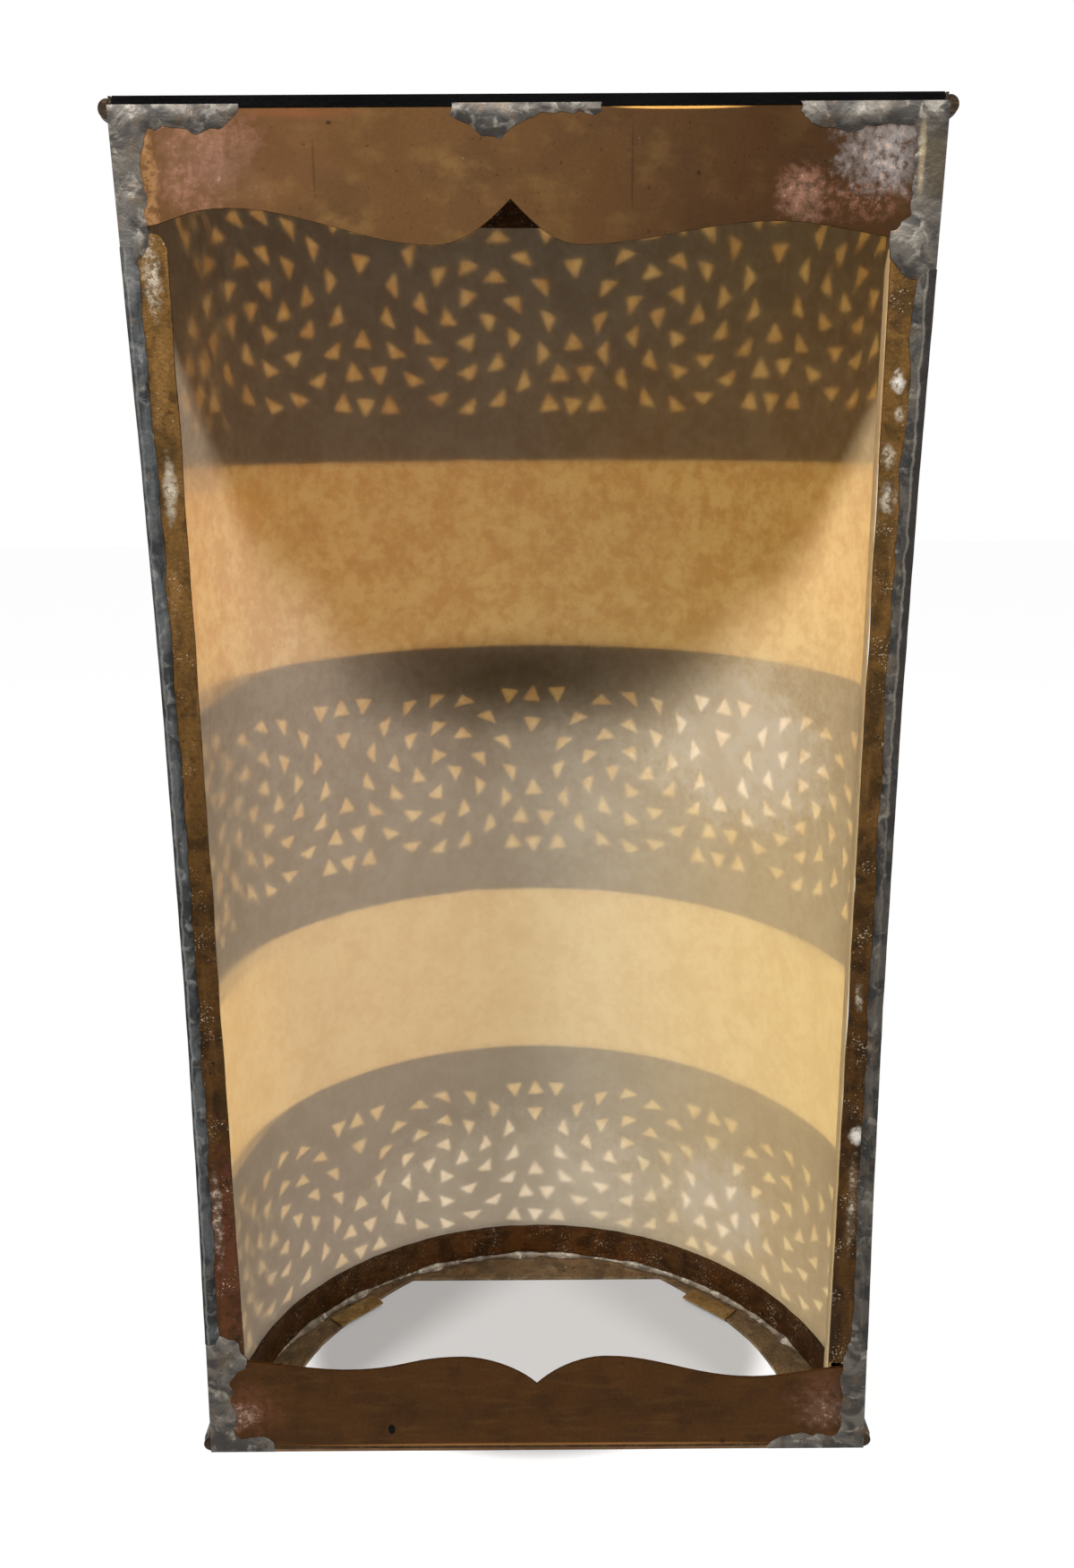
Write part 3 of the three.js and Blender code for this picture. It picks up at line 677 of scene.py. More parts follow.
# Lighter and more golden than the ring: partly the tabs' own colour, partly painted light where they catch it
tabLook = {
    **barredLook,
    **tones((120, 94, 54), (158, 130, 82), (188, 160, 108)),
    "specks": 0.3,
}
bandLook = {
    **tones((118, 84, 38), (158, 120, 62), (196, 160, 96)),
    "patchSize": 0.03,
    "brightShare": 0.55,
    "metalness": 0.95,
    **fluxed(0.12, 0.0011, 0.4, (140, 125, 95)),
    "relief": 0.0004,
}
capLook = {
    **rimLook,
    **tones((40, 28, 17), (60, 43, 25), (92, 69, 40)),
    "patchSize": 0.03,
    "specks": 0.12,
    "metalness": 0.95,
    # The cap's rear edge is painted near black
    "overlays": [acrossBack(0.001, topLevel, 0.0022, 0.02, paint(6, 5, 5), 1.0)],
}
bandBackLook = {**bandLook, **tones((40, 34, 28), (56, 48, 38), (74, 64, 50))}
solderLook = {
    **tones((46, 42, 38), (84, 78, 70), (144, 137, 125)),
    "sheen": 0.55,
    "crust": 0.14,
    "crustColor": paint(160, 154, 142),
    "overlay": paint(92, 72, 50),
    "stainStrength": 0.4,
    "metalness": 0.5,
    "relief": 0.0009,
    "flow": (0.8, 1.0, 1.0),
    "edge": None,
    "overlays": [
        onBack(-0.1115, 0.002, 0.0055, 0.013, paint(64, 54, 36), deep=0.02, strength=0.85),
        onBack(-0.1075, 0.003, 0.0012, 0.012, paint(150, 132, 100), deep=0.02, strength=0.5),
        onBack(0.1125, -0.02, 0.004, 0.02, paint(96, 92, 88), deep=0.02, strength=0.5),
    ],
}
leftSeamLook = {
    **solderLook,
    **tones((30, 28, 25), (66, 61, 54), (122, 116, 105)),
    "flow": (1.0, 1.0, 0.6),
    "edge": {"depth": 0.0026, "fade": (-0.27, -0.12, 0.15, 1.0), "color": paint(24, 18, 15)},
}
rightSeamLook = {
    **solderLook,
    **tones((27, 28, 28), (66, 68, 68), (124, 124, 119)),
    "flow": (1.0, 1.0, 0.6),
    "stainStrength": 0.22,
    "edge": {"depth": 0.0012, "fade": (-0.25, -0.1, 1.0, 0.6), "color": paint(20, 17, 15)},
}
topPlateFinish = agedBrass("heatStainedTopPlate", topPlateLook)
bottomPlateFinish = agedBrass("heatStainedBottomPlate", bottomPlateLook)
stileFinish = agedBrass("fluxedStileBrass", stileLook)
stripFinish = agedBrass("brownStripBrass", stripLook)
ringFinish = agedBrass("dullRingBrass", ringLook)
rimFinish = agedBrass("blackenedRimBrass", rimLook)
tabFinish = agedBrass("tabBrassPaintedLight", tabLook)
bandFinish = agedBrass("piercedBandBrass", bandLook)
solderFinish = solderSkin("oldSolder", solderLook)
leftSeamFinish = solderSkin("seamSolderShadedEdge", leftSeamLook)
rightSeamFinish = solderSkin("blueGreySeamSolder", rightSeamLook)
beadLook = {
    **solderLook,
    **tones((62, 50, 36), (104, 94, 78), (178, 170, 154)),
    "metalness": 0.1,
    "crust": 0.5,
    "overlays": (),
}
beadFinish = solderSkin("paleBeadSolder", beadLook)
capFinish = agedBrass("blackEdgedCapBrass", capLook)
bandBackFinish = agedBrass("tarnishedBandBack", bandBackLook)
print("metal finishes made")

# Pierced bands
bandSettings = {
    "turns": {"bottom_band": (0, -1), "middle_band": (0, 1), "top_band": (-8, 1)},
    "medallionPitch": 0.079,
    "swirl": 28,
    "rings": [(0.030, 16, 0.0092, 0.0042), (0.0184, 10, 0.0086, 0.0046), (0.0076, 4, 0.0078, 0.0052)],
    "columns": [
        (0.0304, (-0.0094, 0.0094), -1),
        (0.0298, (0.0,), 1),
        (0.0186, (0.0,), -1),
        (-0.0078, (0.0,), 1),
        (-0.0186, (-0.005,), -1),
        (-0.019, (0.005,), 1),
        (-0.0298, (-0.0094, 0.0094), 1),
        (-0.0294, (0.0,), -1),
    ],
    "columnBase": 0.0074,
    "columnRise": 0.0064,
    "plainBack": 0.012,  # no piercing comes nearer the wall
    "turnWander": 9,
    "placeWander": 0.0005,
    "cornerCut": 0.05,
    "fill": 0.0032,
    "clear": 0.0009,
    "edgeWaver": 0.00012,
    "edgeSlip": 0.0005,
    "dish": 0.0004,
}


def piercings(turnRound, hand, halfHeight):
    s = bandSettings
    arc = math.pi * shell["radius"]
    count = math.floor(arc / s["medallionPitch"])
    pitch = arc / (count + 0.5)
    shift = math.radians(turnRound) * shell["radius"]
    edge = arc / 2 + shell["reach"] - s["plainBack"] - s["columnBase"] / 2
    seed = turnRound + 3 * hand
    cuts = []

    def pierce(base, rise, along, up, turn):
        nonlocal seed
        seed += 1
        place = along + s["placeWander"] * wander(seed)
        level = up + s["placeWander"] * wander(seed + 0.3)
        if abs(place) + base / 2 > edge or abs(level) > halfHeight - s["columnRise"]:
            return
        turn += math.radians(s["turnWander"]) * wander(seed + 0.6)
        cosine, sine = math.cos(turn), math.sin(turn)
        corners = [(-base / 2, -rise / 3), (base / 2, -rise / 3), (0, 2 * rise / 3)]
        turned = [Vector((place + x * cosine - y * sine, level + x * sine + y * cosine)) for x, y in corners]
        blunt = []
        for k in range(3):
            for other in (turned[k - 1], turned[(k + 1) % 3]):
                blunt.append(tuple(turned[k].lerp(other, s["cornerCut"])))
        cuts.append(blunt)

    for m in range(count):
        centre = (m - (count - 1) / 2) * pitch + shift
        swirl = math.radians(s["swirl"]) * hand * (1 if m % 2 else -1)
        for r, (radius, number, base, rise) in enumerate(s["rings"]):
            for k in range(number):
                angle = (k + 0.5 * (r % 2)) / number * 2 * math.pi
                along = centre + radius * math.cos(angle)
                pierce(base, rise, along, radius * math.sin(angle), angle - math.pi / 2 + swirl)
    for c in range(count + 1):
        centre = (c - count / 2) * pitch + shift
        for level, offsets, tip in s["columns"]:
            for offset in offsets:
                pierce(s["columnBase"], s["columnRise"], centre + offset, level, 0 if tip > 0 else math.pi)
    return cuts


def makeBand(node):
    s = bandSettings
    low, high = levels(node)
    middle, half = (low + high) / 2, (high - low) / 2

    def edgeLine(level, towards):
        # Snipped by hand, so the edge wavers inward
        line = []
        for u in spread(-fullRun, fullRun, s["fill"]):
            sag = s["edgeWaver"] * (1 + unevenness(u, level, 0.3, 0.012))
            sag += s["edgeSlip"] * smooth(unevenness(u, level, 7.1, 0.02), 0.42, 0.6)
            line.append((u, level + towards * sag))
        return line

    outline = edgeLine(-half, 1) + edgeLine(half, -1)[::-1]
    holes = piercings(*s["turns"][node], half)
    pattern = cutPattern(outline, holes, s["fill"], s["clear"])
    holeEdges = treeOf([p for hole in holes for p in hole])

    def skin(inset, dish):
        def place(u, v):
            x, y = planPoint(u, inset + dish * (holeEdges.find((u, v, 0))[2] < 1e-5))
            return bowed(x, y, v + middle)

        return place

    skins = slab(pattern, skin(0.0, s["dish"]), skin(shell["bandSkin"], 0.0))
    piece = addPiece(node.replace("_", "") + "Pierced", *skins, bandFinish, [node], "band_brass")
    piece.data.materials.append(bandBackFinish)
    for polygon in piece.data.polygons:
        centre = polygon.center
        outward = Vector((centre.x, centre.y + shell["reach"], 0.0)).normalized()
        if polygon.normal.dot(outward) < -0.5 or polygon.normal.y > 0.9:
            polygon.material_index = 1


for bandNode in bandSettings["turns"]:
    makeBand(bandNode)
print("pierced bands made")

# Parchment sheet: it follows the bands and springs inward near its edges
sheetSettings = {
    "left": {"spring": 0.0123, "from": 74, "waisted": 0.0},
    "right": {"spring": 0.0035, "from": 55, "waisted": 1.0},
    "backStop": 0.0013,
    "step": 0.0022,
    "rowStep": 0.006,
    "inset": 0.0009,
    "skin": 0.0003,
    "ripple": 0.0004,
    "lean": 0.0005,
    "leanHeights": (-0.12, -0.06),
    "calmFrom": (0.14, 0.165),
}


def sheetSide(along):
    # How far round a point is, and how the sheet springs free on that side
    degrees = math.degrees(min(quarterRun, abs(along)) / shell["radius"])
    return degrees, sheetSettings["left" if along < 0 else "right"]


def sheetDrift(along):
    degrees, side = sheetSide(along)
    return side["spring"] * smooth(degrees, side["from"], 90)


def sheetBow(along, x, y, z):
    # The waist, but not where an edge springs free of the bands
    degrees, side = sheetSide(along)
    held = 1 - (1 - side["waisted"]) * smooth(degrees, side["from"], 90)
    return Vector((x - x / shell["radius"] * held * waistAt(z), y, z))


def sheetPlace(inset):
    def place(along, z):
        ripple = sheetSettings["ripple"] * smooth(unevenness(along, z, 0.0, 0.05), -0.1, 0.5)
        ripple += sheetSettings["lean"] * smooth(z, *sheetSettings["leanHeights"])
        calm = 1 - smooth(abs(along), *sheetSettings["calmFrom"])
        x, y = planPoint(along, inset + sheetDrift(along) + ripple * calm)
        return sheetBow(along, x, y, z)

    return place


def parchmentMaterial(look):
    # The face is what light from inside shows, the glow what light from outside shows through the sheet
    material, wires, shader, place = newMaterial("parchment")
    cloud = wires.noise(place, look["cloudSize"], 5.0, 0.6, 0.3)
    fibre = wires.noise(place, look["fibreSize"], 4.0, 0.65)
    both = wires.plus(wires.times(cloud, 0.5), wires.times(fibre, 0.5))
    parts = wires.axes(place)
    mottle = wires.less(wires.step(both, *look["mottleStep"]), look["mottleMiddle"])
    mottle = wires.times(mottle, wires.step(parts["Z"], *look["mottled"]))
    mottle = wires.plus(mottle, look["mottleMiddle"])
    glow, face = (wires.mix(mottle, look[skin + "Dark"], look[skin + "Light"]) for skin in ("glow", "face"))
    # A tint across the glow from side to side
    sideTintAndPaintedLight = wires.mix(wires.step(parts["X"], *look["tintAcross"]), look["leftTint"], look["rightTint"])
    glow = wires.mix(1.0, glow, sideTintAndPaintedLight, "MULTIPLY")
    # Painted light: the face is made brighter towards the -X side, as if more strongly lit there
    sideTintAndPaintedLight = wires.mix(wires.step(parts["X"], *look["faceAcross"]), look["leftFacePaintedLight"], sideTintAndPaintedLight)
    face = wires.mix(1.0, face, sideTintAndPaintedLight, "MULTIPLY")
    # Painted shade: the glow is darkened and browned towards the top, in mottled patches
    paintedTopShade = wires.times(wires.step(parts["Z"], *look["paintedTopShade"]), wires.step(both, *look["topShadeStep"]))
    glow = wires.tinted(paintedTopShade, glow, look["topShadeTint"])
    # Painted light: the face is made brighter towards the top
    face = wires.tinted(wires.step(parts["Z"], *look["top"]), face, look["topFacePaintedLight"])
    # Painted light: near the bottom the glow is paler and the face brighter, as from light off the floor
    low = wires.step(parts["Z"], *look["low"])
    glow = wires.tinted(low, glow, look["lowGlowPaintedLight"])
    face = wires.tinted(low, face, look["lowFacePaintedLight"])
    for centre, reach in look["browned"]:
        face = wires.tinted(patchMask(wires, place, centre, reach, 0.3, 0.9), face, look["brown"])
    # Painted shadow: a dark patch deepens the top plate's shadow across the top of the middle band
    for centre, reach in look["shadowDeepened"]:
        mask = patchMask(wires, place, centre, reach, 0.25, 0.8)
        face = wires.tinted(mask, face, look["shadowFaceTone"])
        glow = wires.tinted(mask, glow, look["shadowGlowTone"])
    through = look["through"]
    for centre, reach in look["milky"]:
        mask = patchMask(wires, place, centre, reach, 0.5, 0.5)
        veil = wires.times(mask, wires.step(cloud, *look["veilStep"]))
        glow = wires.mix(veil, glow, look["glowMilky"])
        face = wires.mix(veil, face, look["faceMilky"])
        through = wires.less(through, wires.times(veil, look["milkiness"]))
    fleck = wires.step(wires.noise(place, look["fleckSize"], 1.0), *look["fleckStep"])
    face = wires.mix(wires.times(fleck, look["fleckShare"]), face, look["fleck"])
    wires.feed(shader.inputs["Base Color"], face)
    shader.inputs["Roughness"].default_value = look["roughness"]
    shader.inputs["Specular IOR Level"].default_value = look["gloss"]
    bumpInto(wires, shader, both, look["relief"])
    shine = wires.add("BsdfTranslucent", {"Color": glow}).outputs[0]
    mixed = wires.add("MixShader", {0: through, 1: shader.outputs[0], 2: shine})
    surface(wires, mixed.outputs[0])
    return material


parchmentLook = {
    "cloudSize": 0.011,
    "fibreSize": 0.0032,
    "fleckSize": 0.0011,
    "mottleMiddle": 0.55,
    "mottleStep": (0.4, 0.6),
    "topShadeStep": (0.38, 0.62, 1.0, 0.6),
    "veilStep": (0.36, 0.6, 0.55, 0.85),
    "fleckStep": (0.80, 0.84),
    "fleckShare": 0.6,
    # From side to side, where the tints change
    "tintAcross": (-0.09, 0.09),
    "faceAcross": (-0.1, 0.0),
    # Heights between which each change comes in
    "mottled": (-0.28, -0.16, 0.7, 1.0),
    "paintedTopShade": (-0.26, -0.08),
    "top": (-0.16, -0.12),
    "low": (-0.39, -0.33, 1.0, 0.0),
    "glowDark": (0.745, 0.54, 0.268, 1.0),
    "glowLight": (0.778, 0.593, 0.315, 1.0),
    "faceDark": (0.755, 0.655, 0.51, 1.0),
    "faceLight": (0.83, 0.735, 0.595, 1.0),
    "glowMilky": (0.88, 0.80, 0.70, 1.0),
    "faceMilky": (0.87, 0.785, 0.63, 1.0),
    "milky": [
        ((-0.078, -0.0846, -0.182), (0.05, 0.05, 0.034)),
        ((0.012, -0.112, -0.378), (0.07, 0.05, 0.036)),
        ((-0.0748, -0.09, -0.374), (0.028, 0.028, 0.026)),
    ],
    "shadowDeepened": [((0.006, -0.113, -0.162), (0.078, 0.06, 0.022))],
    "shadowFaceTone": (0.48, 0.42, 0.32, 1.0),
    "shadowGlowTone": (0.8, 0.76, 0.7, 1.0),
    "lowGlowPaintedLight": (0.99, 1.06, 1.3, 1.0),
    "lowFacePaintedLight": (1.15, 1.12, 1.12, 1.0),
    "topFacePaintedLight": (1.17, 1.12, 1.02, 1.0),
    "browned": [((-0.03, -0.108, -0.066), (0.05, 0.04, 0.036))],
    "brown": (1.04, 0.93, 0.76, 1.0),
    # Painted light on the face towards the -X side
    "leftFacePaintedLight": (1.12, 1.06, 0.85, 1.0),
    "fleck": paint(70, 50, 30),
    "leftTint": (0.94, 1.03, 1.11, 1.0),
    "rightTint": (0.97, 1.01, 1.09, 1.0),
    "topShadeTint": (0.87, 0.74, 0.53, 1.0),
    "through": 0.7,
    "milkiness": 0.04,
    "roughness": 0.4,
    "gloss": 0.15,
    "relief": 0.00012,
}
parchment = parchmentMaterial(parchmentLook)
sheetRun = fullRun - sheetSettings["backStop"]
sheetRows = spread(*levels("shade_sheet"), sheetSettings["rowStep"])
sheetPattern = gridPattern(spread(-sheetRun, sheetRun, sheetSettings["step"]), sheetRows)
sheetOuter = sheetPlace(sheetSettings["inset"])
sheetInner = sheetPlace(sheetSettings["inset"] + sheetSettings["skin"])
sheetSkins = slab(sheetPattern, sheetOuter, sheetInner)
addPiece("parchmentSheet", *sheetSkins, parchment, ["shade_sheet"], "shade_parchment")
print("sheet made")

# Retaining strips inside the sheet
stripSettings = {"step": 0.0025, "rowStep": 0.003, "joint": 2.2, "dent": 0.0002, "lip": 0.0004}


def makeStrip(name, node, fromAlong, toAlong):
    low, high = levels(node)

    def place(inset):
        def at(along, z):
            dent = stripSettings["dent"] * (1 + unevenness(along, z, 4.0, 0.01))
            x, y = planPoint(along, inset + sheetDrift(along) + dent)
            lip = stripSettings["lip"] * unevenness(along, 0.0, 9.0, 0.012) * smooth(z, low, high)
            return sheetBow(along, x, y, z - abs(lip))

        return at

    alongs = spread(fromAlong, toAlong, stripSettings["step"])
    pattern = gridPattern(alongs, spread(low, high, stripSettings["rowStep"]))
    skins = slab(pattern, place(stripInset), place(stripInset + shell["stripSkin"]))
    addPiece(name, *skins, stripFinish, [node], "strip_brass")


jointAlong = math.radians(stripSettings["joint"]) * shell["radius"]
makeStrip("bottomStripLeft", "bottom_left_strip", -sheetRun, jointAlong)
makeStrip("bottomStripRight", "bottom_right_strip", jointAlong, sheetRun)
makeStrip("topStrip", "top_strip", -sheetRun, sheetRun)

# Bottom ring and top cap
ringSettings = {
    "front": 0.0195,
    "side": 0.030,
    "rearCorner": 0.020,
    "rear": 0.010,
    "frontShare": 0.84,
    "sideShare": 0.5,
    "bow": {"out": 0.55, "forward": 0.8, "rear": 0.62},
    "step": 0.0035,
    "edgeStep": 0.003,
    "clear": 0.0015,
}


def makeEnd(name, node, finish, openings):
    low, high = levels(node)
    outline = [planPoint(u, sheetInset) for u in spread(-fullRun, fullRun, ringSettings["edgeStep"])]

    def level(height):
        return lambda x, y: bowed(x, y, height)

    pattern = cutPattern(outline, openings, ringSettings["step"], ringSettings["clear"])
    addPiece(name, *slab(pattern, level(high), level(low)), finish, [node], "ring_brass")


def bend(line, control, end, parts=6):
    # Carries a line on in a curve
    start, control, end = Vector(line[-1]), Vector(control), Vector(end)
    shares = [k / parts for k in range(1, parts + 1)]
    return line + [tuple(start.lerp(control, t).lerp(control.lerp(end, t), t)) for t in shares]


def ringOpening():
    # Straight across the front, bowed at the sides and straight along the back
    s, bow, radius = ringSettings, ringSettings["bow"], shell["radius"]
    front = s["front"] - radius - shell["reach"]
    corner = s["frontShare"] * math.sqrt((radius - sheetInset) ** 2 - (radius - s["front"]) ** 2)
    side = radius - s["side"]
    rear = radius - s["rearCorner"]
    sideAt = -s["sideShare"] * radius
    reach = side - corner
    right = [(corner, front)]
    right = bend(right, (corner + bow["out"] * reach, sideAt - bow["forward"] * reach), (side, sideAt), 8)
    right = bend(right, (rear, bow["rear"] * sideAt), (rear, -s["rear"]), 8)
    return right + [(-x, y) for x, y in reversed(right)]


makeEnd("bottomRing", "bottom_end_ring", ringFinish, [ringOpening()])
makeEnd("topCap", "top_cap", capFinish, [])
print("rings and strips made")

# Half-round rims outside both ends
rimSettings = {
    "radius": 0.0033,
    "around": 12,
    "step": 0.0025,
    "knock": 0.04,
    "knockSize": 0.006,
    "perTurn": 0.004,
    "leastEnd": 0.85,
    "endRows": 6,
    "innerHeight": 0.98,
}


def makeRim(name, node):
    s = rimSettings
    low, high = levels(node)
    middle = (low + high) / 2
    radius = s["radius"]

    def skin(depth):
        def place(along, turn):
            # Round at its two ends, and knocked about a little
            left = fullRun - abs(along)
            swell = math.sqrt(max(0.0, 1 - max(0.0, 1 - left / radius) ** 2)) if left < radius else 1.0
            reach = radius * max(s["leastEnd"], swell)
            knock = 1 + s["knock"] * unevenness(along, turn * s["perTurn"], 2.0, s["knockSize"]) - s["knock"]
            out = reach * knock * math.sin(turn) * depth
            up = reach * knock * math.cos(turn) * (1 if depth else s["innerHeight"])
            x, y = planPoint(along, -shell["gap"] - out)
            return bowed(x, y, middle + up)

        return place

    turns = spread(0.0, math.pi, math.pi / s["around"])
    ends = [side * (fullRun - radius * k / s["endRows"]) for side in (-1, 1) for k in range(s["endRows"])]
    alongs = sorted(set(spread(-fullRun, fullRun, s["step"]) + ends))
    pattern = gridPattern(alongs, turns[::-1])
    addPiece(name, *slab(pattern, skin(1.0), skin(0.0)), rimFinish, [node], "rim_brass", 60)


makeRim("bottomRim", "bottom_rim")
makeRim("topRim", "top_rim")

# Stiles: a leg across the back with a fold along the side
stileSettings = {
    "width": 0.0121,
    "fold": 0.0112,
    "skin": 0.001,
    "round": 0.004,
    "step": 0.0013,
    "dent": 0.00022,
    "waver": 0.00035,
    "foldLean": 0.0004,
    "foldFrom": 0.0004,
    "rows": 130,
    "foldStep": 0.0028,
    "stillInside": 0.002,
    "fullInside": 0.001,
    "fromBottom": {-1: 0.0347, 1: 0.0392},
    "fromTop": {-1: 0.0393, 1: 0.0349},
}


def makeStile(name, node, side):
    s = stileSettings
    low, high = levels(node)
    legLow = baseLevel + s["fromBottom"][side]
    legHigh = topLevel - s["fromTop"][side]
    outer = shell["radius"] - sheetInset
    inner = outer - s["width"]

    def onEdge(x, y, z):
        return mirrored(side, bowed(x, y, z, inner + s["stillInside"], outer - s["fullInside"]))

    def legSkin(depth):
        def place(w, v):
            z = legLow + (legHigh - legLow) * v
            if w < s["round"]:
                # The leg's inner corner is round at its top
                left = s["round"] - w
                z = min(z, legHigh - s["round"] + math.sqrt(max(0.0, s["round"] ** 2 - left**2)))
            x = inner + w
            wavy = s["waver"] * unevenness(side * 3.0, 0.0, z, 0.02) * (1 - smooth(w, 0, 0.004))
            dent = s["dent"] * (1 + unevenness(side * x, 0.0, z, 0.012)) / 2
            return onEdge(x + wavy, -depth - dent, z)

        return place

    def foldSkin(depth):
        def place(w, v):
            x = outer - depth - s["foldLean"] * smooth(w, 0.004, 0.012)
            return onEdge(x, -s["foldFrom"] - w, low + (high - low) * v)

        return place

    rows = spread(0.0, 1.0, 1 / s["rows"])
    leg = gridPattern(spread(0.0, s["width"], s["step"]), rows)
    fold = gridPattern(spread(0.0, s["fold"], s["foldStep"]), rows)
    depths = (0.0, s["skin"])[::-side]
    legVerts, legFaces = slab(leg, *(legSkin(depth) for depth in depths))
    foldVerts, foldFaces = slab(fold, *(foldSkin(depth) for depth in depths[::-1]))
    count = len(legVerts)
    faces = legFaces + [tuple(count + i for i in f) for f in foldFaces]
    addPiece(name, legVerts + foldVerts, faces, stileFinish, [node], "frame_brass")


makeStile("leftStile", "left_stile", -1)
makeStile("rightStile", "right_stile", 1)
print("rims and stiles made")

# Back plates and tabs stay as they are in the solids, with softened edges
plateSettings = {"plateEdge": 0.00025, "tabEdge": 0.0002, "sharper": 50}
for node, finish, edge in (
    ("top_back_plate", topPlateFinish, "plateEdge"),
    ("bottom_back_plate", bottomPlateFinish, "plateEdge"),
    ("left_ring_tab", tabFinish, "tabEdge"),
    ("right_ring_tab", tabFinish, "tabEdge"),
):
    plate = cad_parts[node]
    plate.data.materials.clear()
    plate.data.materials.append(finish)
    soften = plate.modifiers.new("softEdge", "BEVEL")
    soften.width = plateSettings[edge]
    soften.segments = 2
    soften.limit_method = "ANGLE"
    soften.angle_limit = math.radians(plateSettings["sharper"])

# Solder
solderSettings = {
    "proud": 0.0013,
    "least": 0.0001,
    "swell": 0.74,
    "lumpSize": 0.009,
    "under": 0.0009,
    "capCover": 0.0022,
    "column": 0.0077,
    "feather": 0.0021,
    "grow": 0.0009,
    # How the free edge wanders, sideways and then upwards: reach, size and seed of each wave
    "ragged": [
        [(0.0013, 0.004, 0), (0.0003, 0.0016, 3)],
        [(0.0013, 0.004, 9), (0.0003, 0.0016, 5)],
    ],
    "lumps": {"large": 0.4, "small": 0.07, "grain": 0.0024, "thinnest": 0.12},
    "outline": 0.0009,
    "fill": 0.0011,
    "clear": 0.0006,
    "bow": (0.103, 0.111),
    "cornersFrom": 0.09,
    "nearEdge": 0.0004,
    # Side, end, then foot, depth, rise and reach
    "corners": {
        "top_left_solder": (-1, 1, 0.040, 0.0065, 0.045, 0.0136),
        "top_right_solder": (1, 1, 0.035, 0.006, 0.038, 0.0077),
        "bottom_left_solder": (-1, -1, 0.033, 0.0055, 0.042, 0.0077),
        "bottom_right_solder": (1, -1, 0.022, 0.0055, 0.046, 0.0136),
    },
    "centre": {"at": 0.008, "half": 0.012, "depth": 0.0085, "tail": 0.027, "tailDepth": 0.0018},
}
solderTop = topLevel - solderSettings["capCover"]


def inCorner(x, y, z):
    # Only the solder at the corners follows the waist
    inside = abs(x) <= solderSettings["cornersFrom"]
    return Vector((x, y, z)) if inside else bowed(x, y, z, *solderSettings["bow"])


def standing(crown, lumps, x, z, seed, fineSeed):
    # How far out solder stands, in lumps large and small
    s = solderSettings
    size = s["swell"] + lumps["large"] * unevenness(x, seed, z, s["lumpSize"])
    size += lumps["small"] * unevenness(x, fineSeed, z, lumps["grain"])
    return min(s["proud"], s["least"] + s["proud"] * crown * max(lumps["thinnest"], min(1.0, size)))


def makeLump(name, loop, node, finish, seed, keepOuter):
    # A cast-on patch: ragged at its free edge, thin there and thicker inside
    s = solderSettings
    ragged = []
    for x, z in resample(loop, s["outline"]):
        shift = [sum(wide * unevenness(x, seed + k, z, size) for wide, size, k in row) for row in s["ragged"]]
        ragged.append((x, z) if keepOuter(x, z) else (x + shift[0], z + shift[1]))
    pattern = cutPattern(ragged, [], s["fill"], s["clear"])
    rim = treeOf(ragged)

    def face(x, z):
        inward = rim.find((x, z, 0))[2]
        crown = 1 - math.exp(-inward / s["feather"])
        return inCorner(x, standing(crown, s["lumps"], x, z, seed, seed + 2), z)

    def under(x, z):
        return inCorner(x, -s["under"], z)

    places, faces = pattern
    turned = places, [tuple(reversed(f)) for f in faces]
    addPiece(name, *slab(turned, face, under), finish, [node], "solder", 60)


def cornerLoop(side, end, foot, depth, rise, reach):
    # The bare shares say where the outline bends along its foot, depth and rise
    grow = solderSettings["grow"]
    column = solderSettings["column"] + grow
    loop = [(0.0, 0.0), (foot + grow, 0.0)]
    loop = bend(loop, (foot + grow, depth + grow), (0.66 * foot, depth + grow))
    loop = bend(loop, (0.5 * foot, 0.7 * depth + grow), (column + 0.003, 0.8 * depth + grow))
    loop = bend(loop, (column, 0.9 * depth + grow), (column, depth + 0.004 + grow))
    loop += [(column, 0.6 * rise)]
    loop = bend(loop, (column, 0.72 * rise - grow), (reach + grow, 0.76 * rise - grow))
    loop = bend(loop, (reach + grow, rise + grow), (0.6 * column, rise + grow))
    loop += [(0.0, rise + grow)]
    made = []
    for x, z in loop:
        made.append((side * (cornerEdge - x), solderTop - z if end > 0 else baseLevel + z))
    return made if side * end > 0 else made[::-1]


for index, (node, sizes) in enumerate(solderSettings["corners"].items()):
    level = solderTop if sizes[1] > 0 else baseLevel

    def onEdge(x, z, level=level, near=solderSettings["nearEdge"]):
        return abs(z - level) < near or cornerEdge - abs(x) < near

    makeLump(node.replace("_", "") + "Lump", cornerLoop(*sizes), node, solderFinish, 11.0 + index, onEdge)


def centreLoop():
    # As in the corners, the bare shares say where it bends
    c = solderSettings["centre"]
    grow = solderSettings["grow"]
    high, half, deep = solderTop, c["half"], c["depth"]
    thin = high - c["tailDepth"] - grow
    loop = [(-c["tail"] - grow, high), (-c["tail"] - grow, thin), (-half, thin)]
    loop = bend(loop, (-0.4 * half, high - 0.35 * deep - grow), (0.0, high - deep - grow))
    loop = bend(loop, (0.5 * half, high - 0.75 * deep - grow), (half + grow, thin))
    loop += [(half + grow, high)]
    return [(x + c["at"], z) for x, z in loop]


def onTop(x, z):
    return solderTop - z < solderSettings["nearEdge"]


makeLump("topCentreLump", centreLoop(), "top_centre_solder", solderFinish, 31.0, onTop)

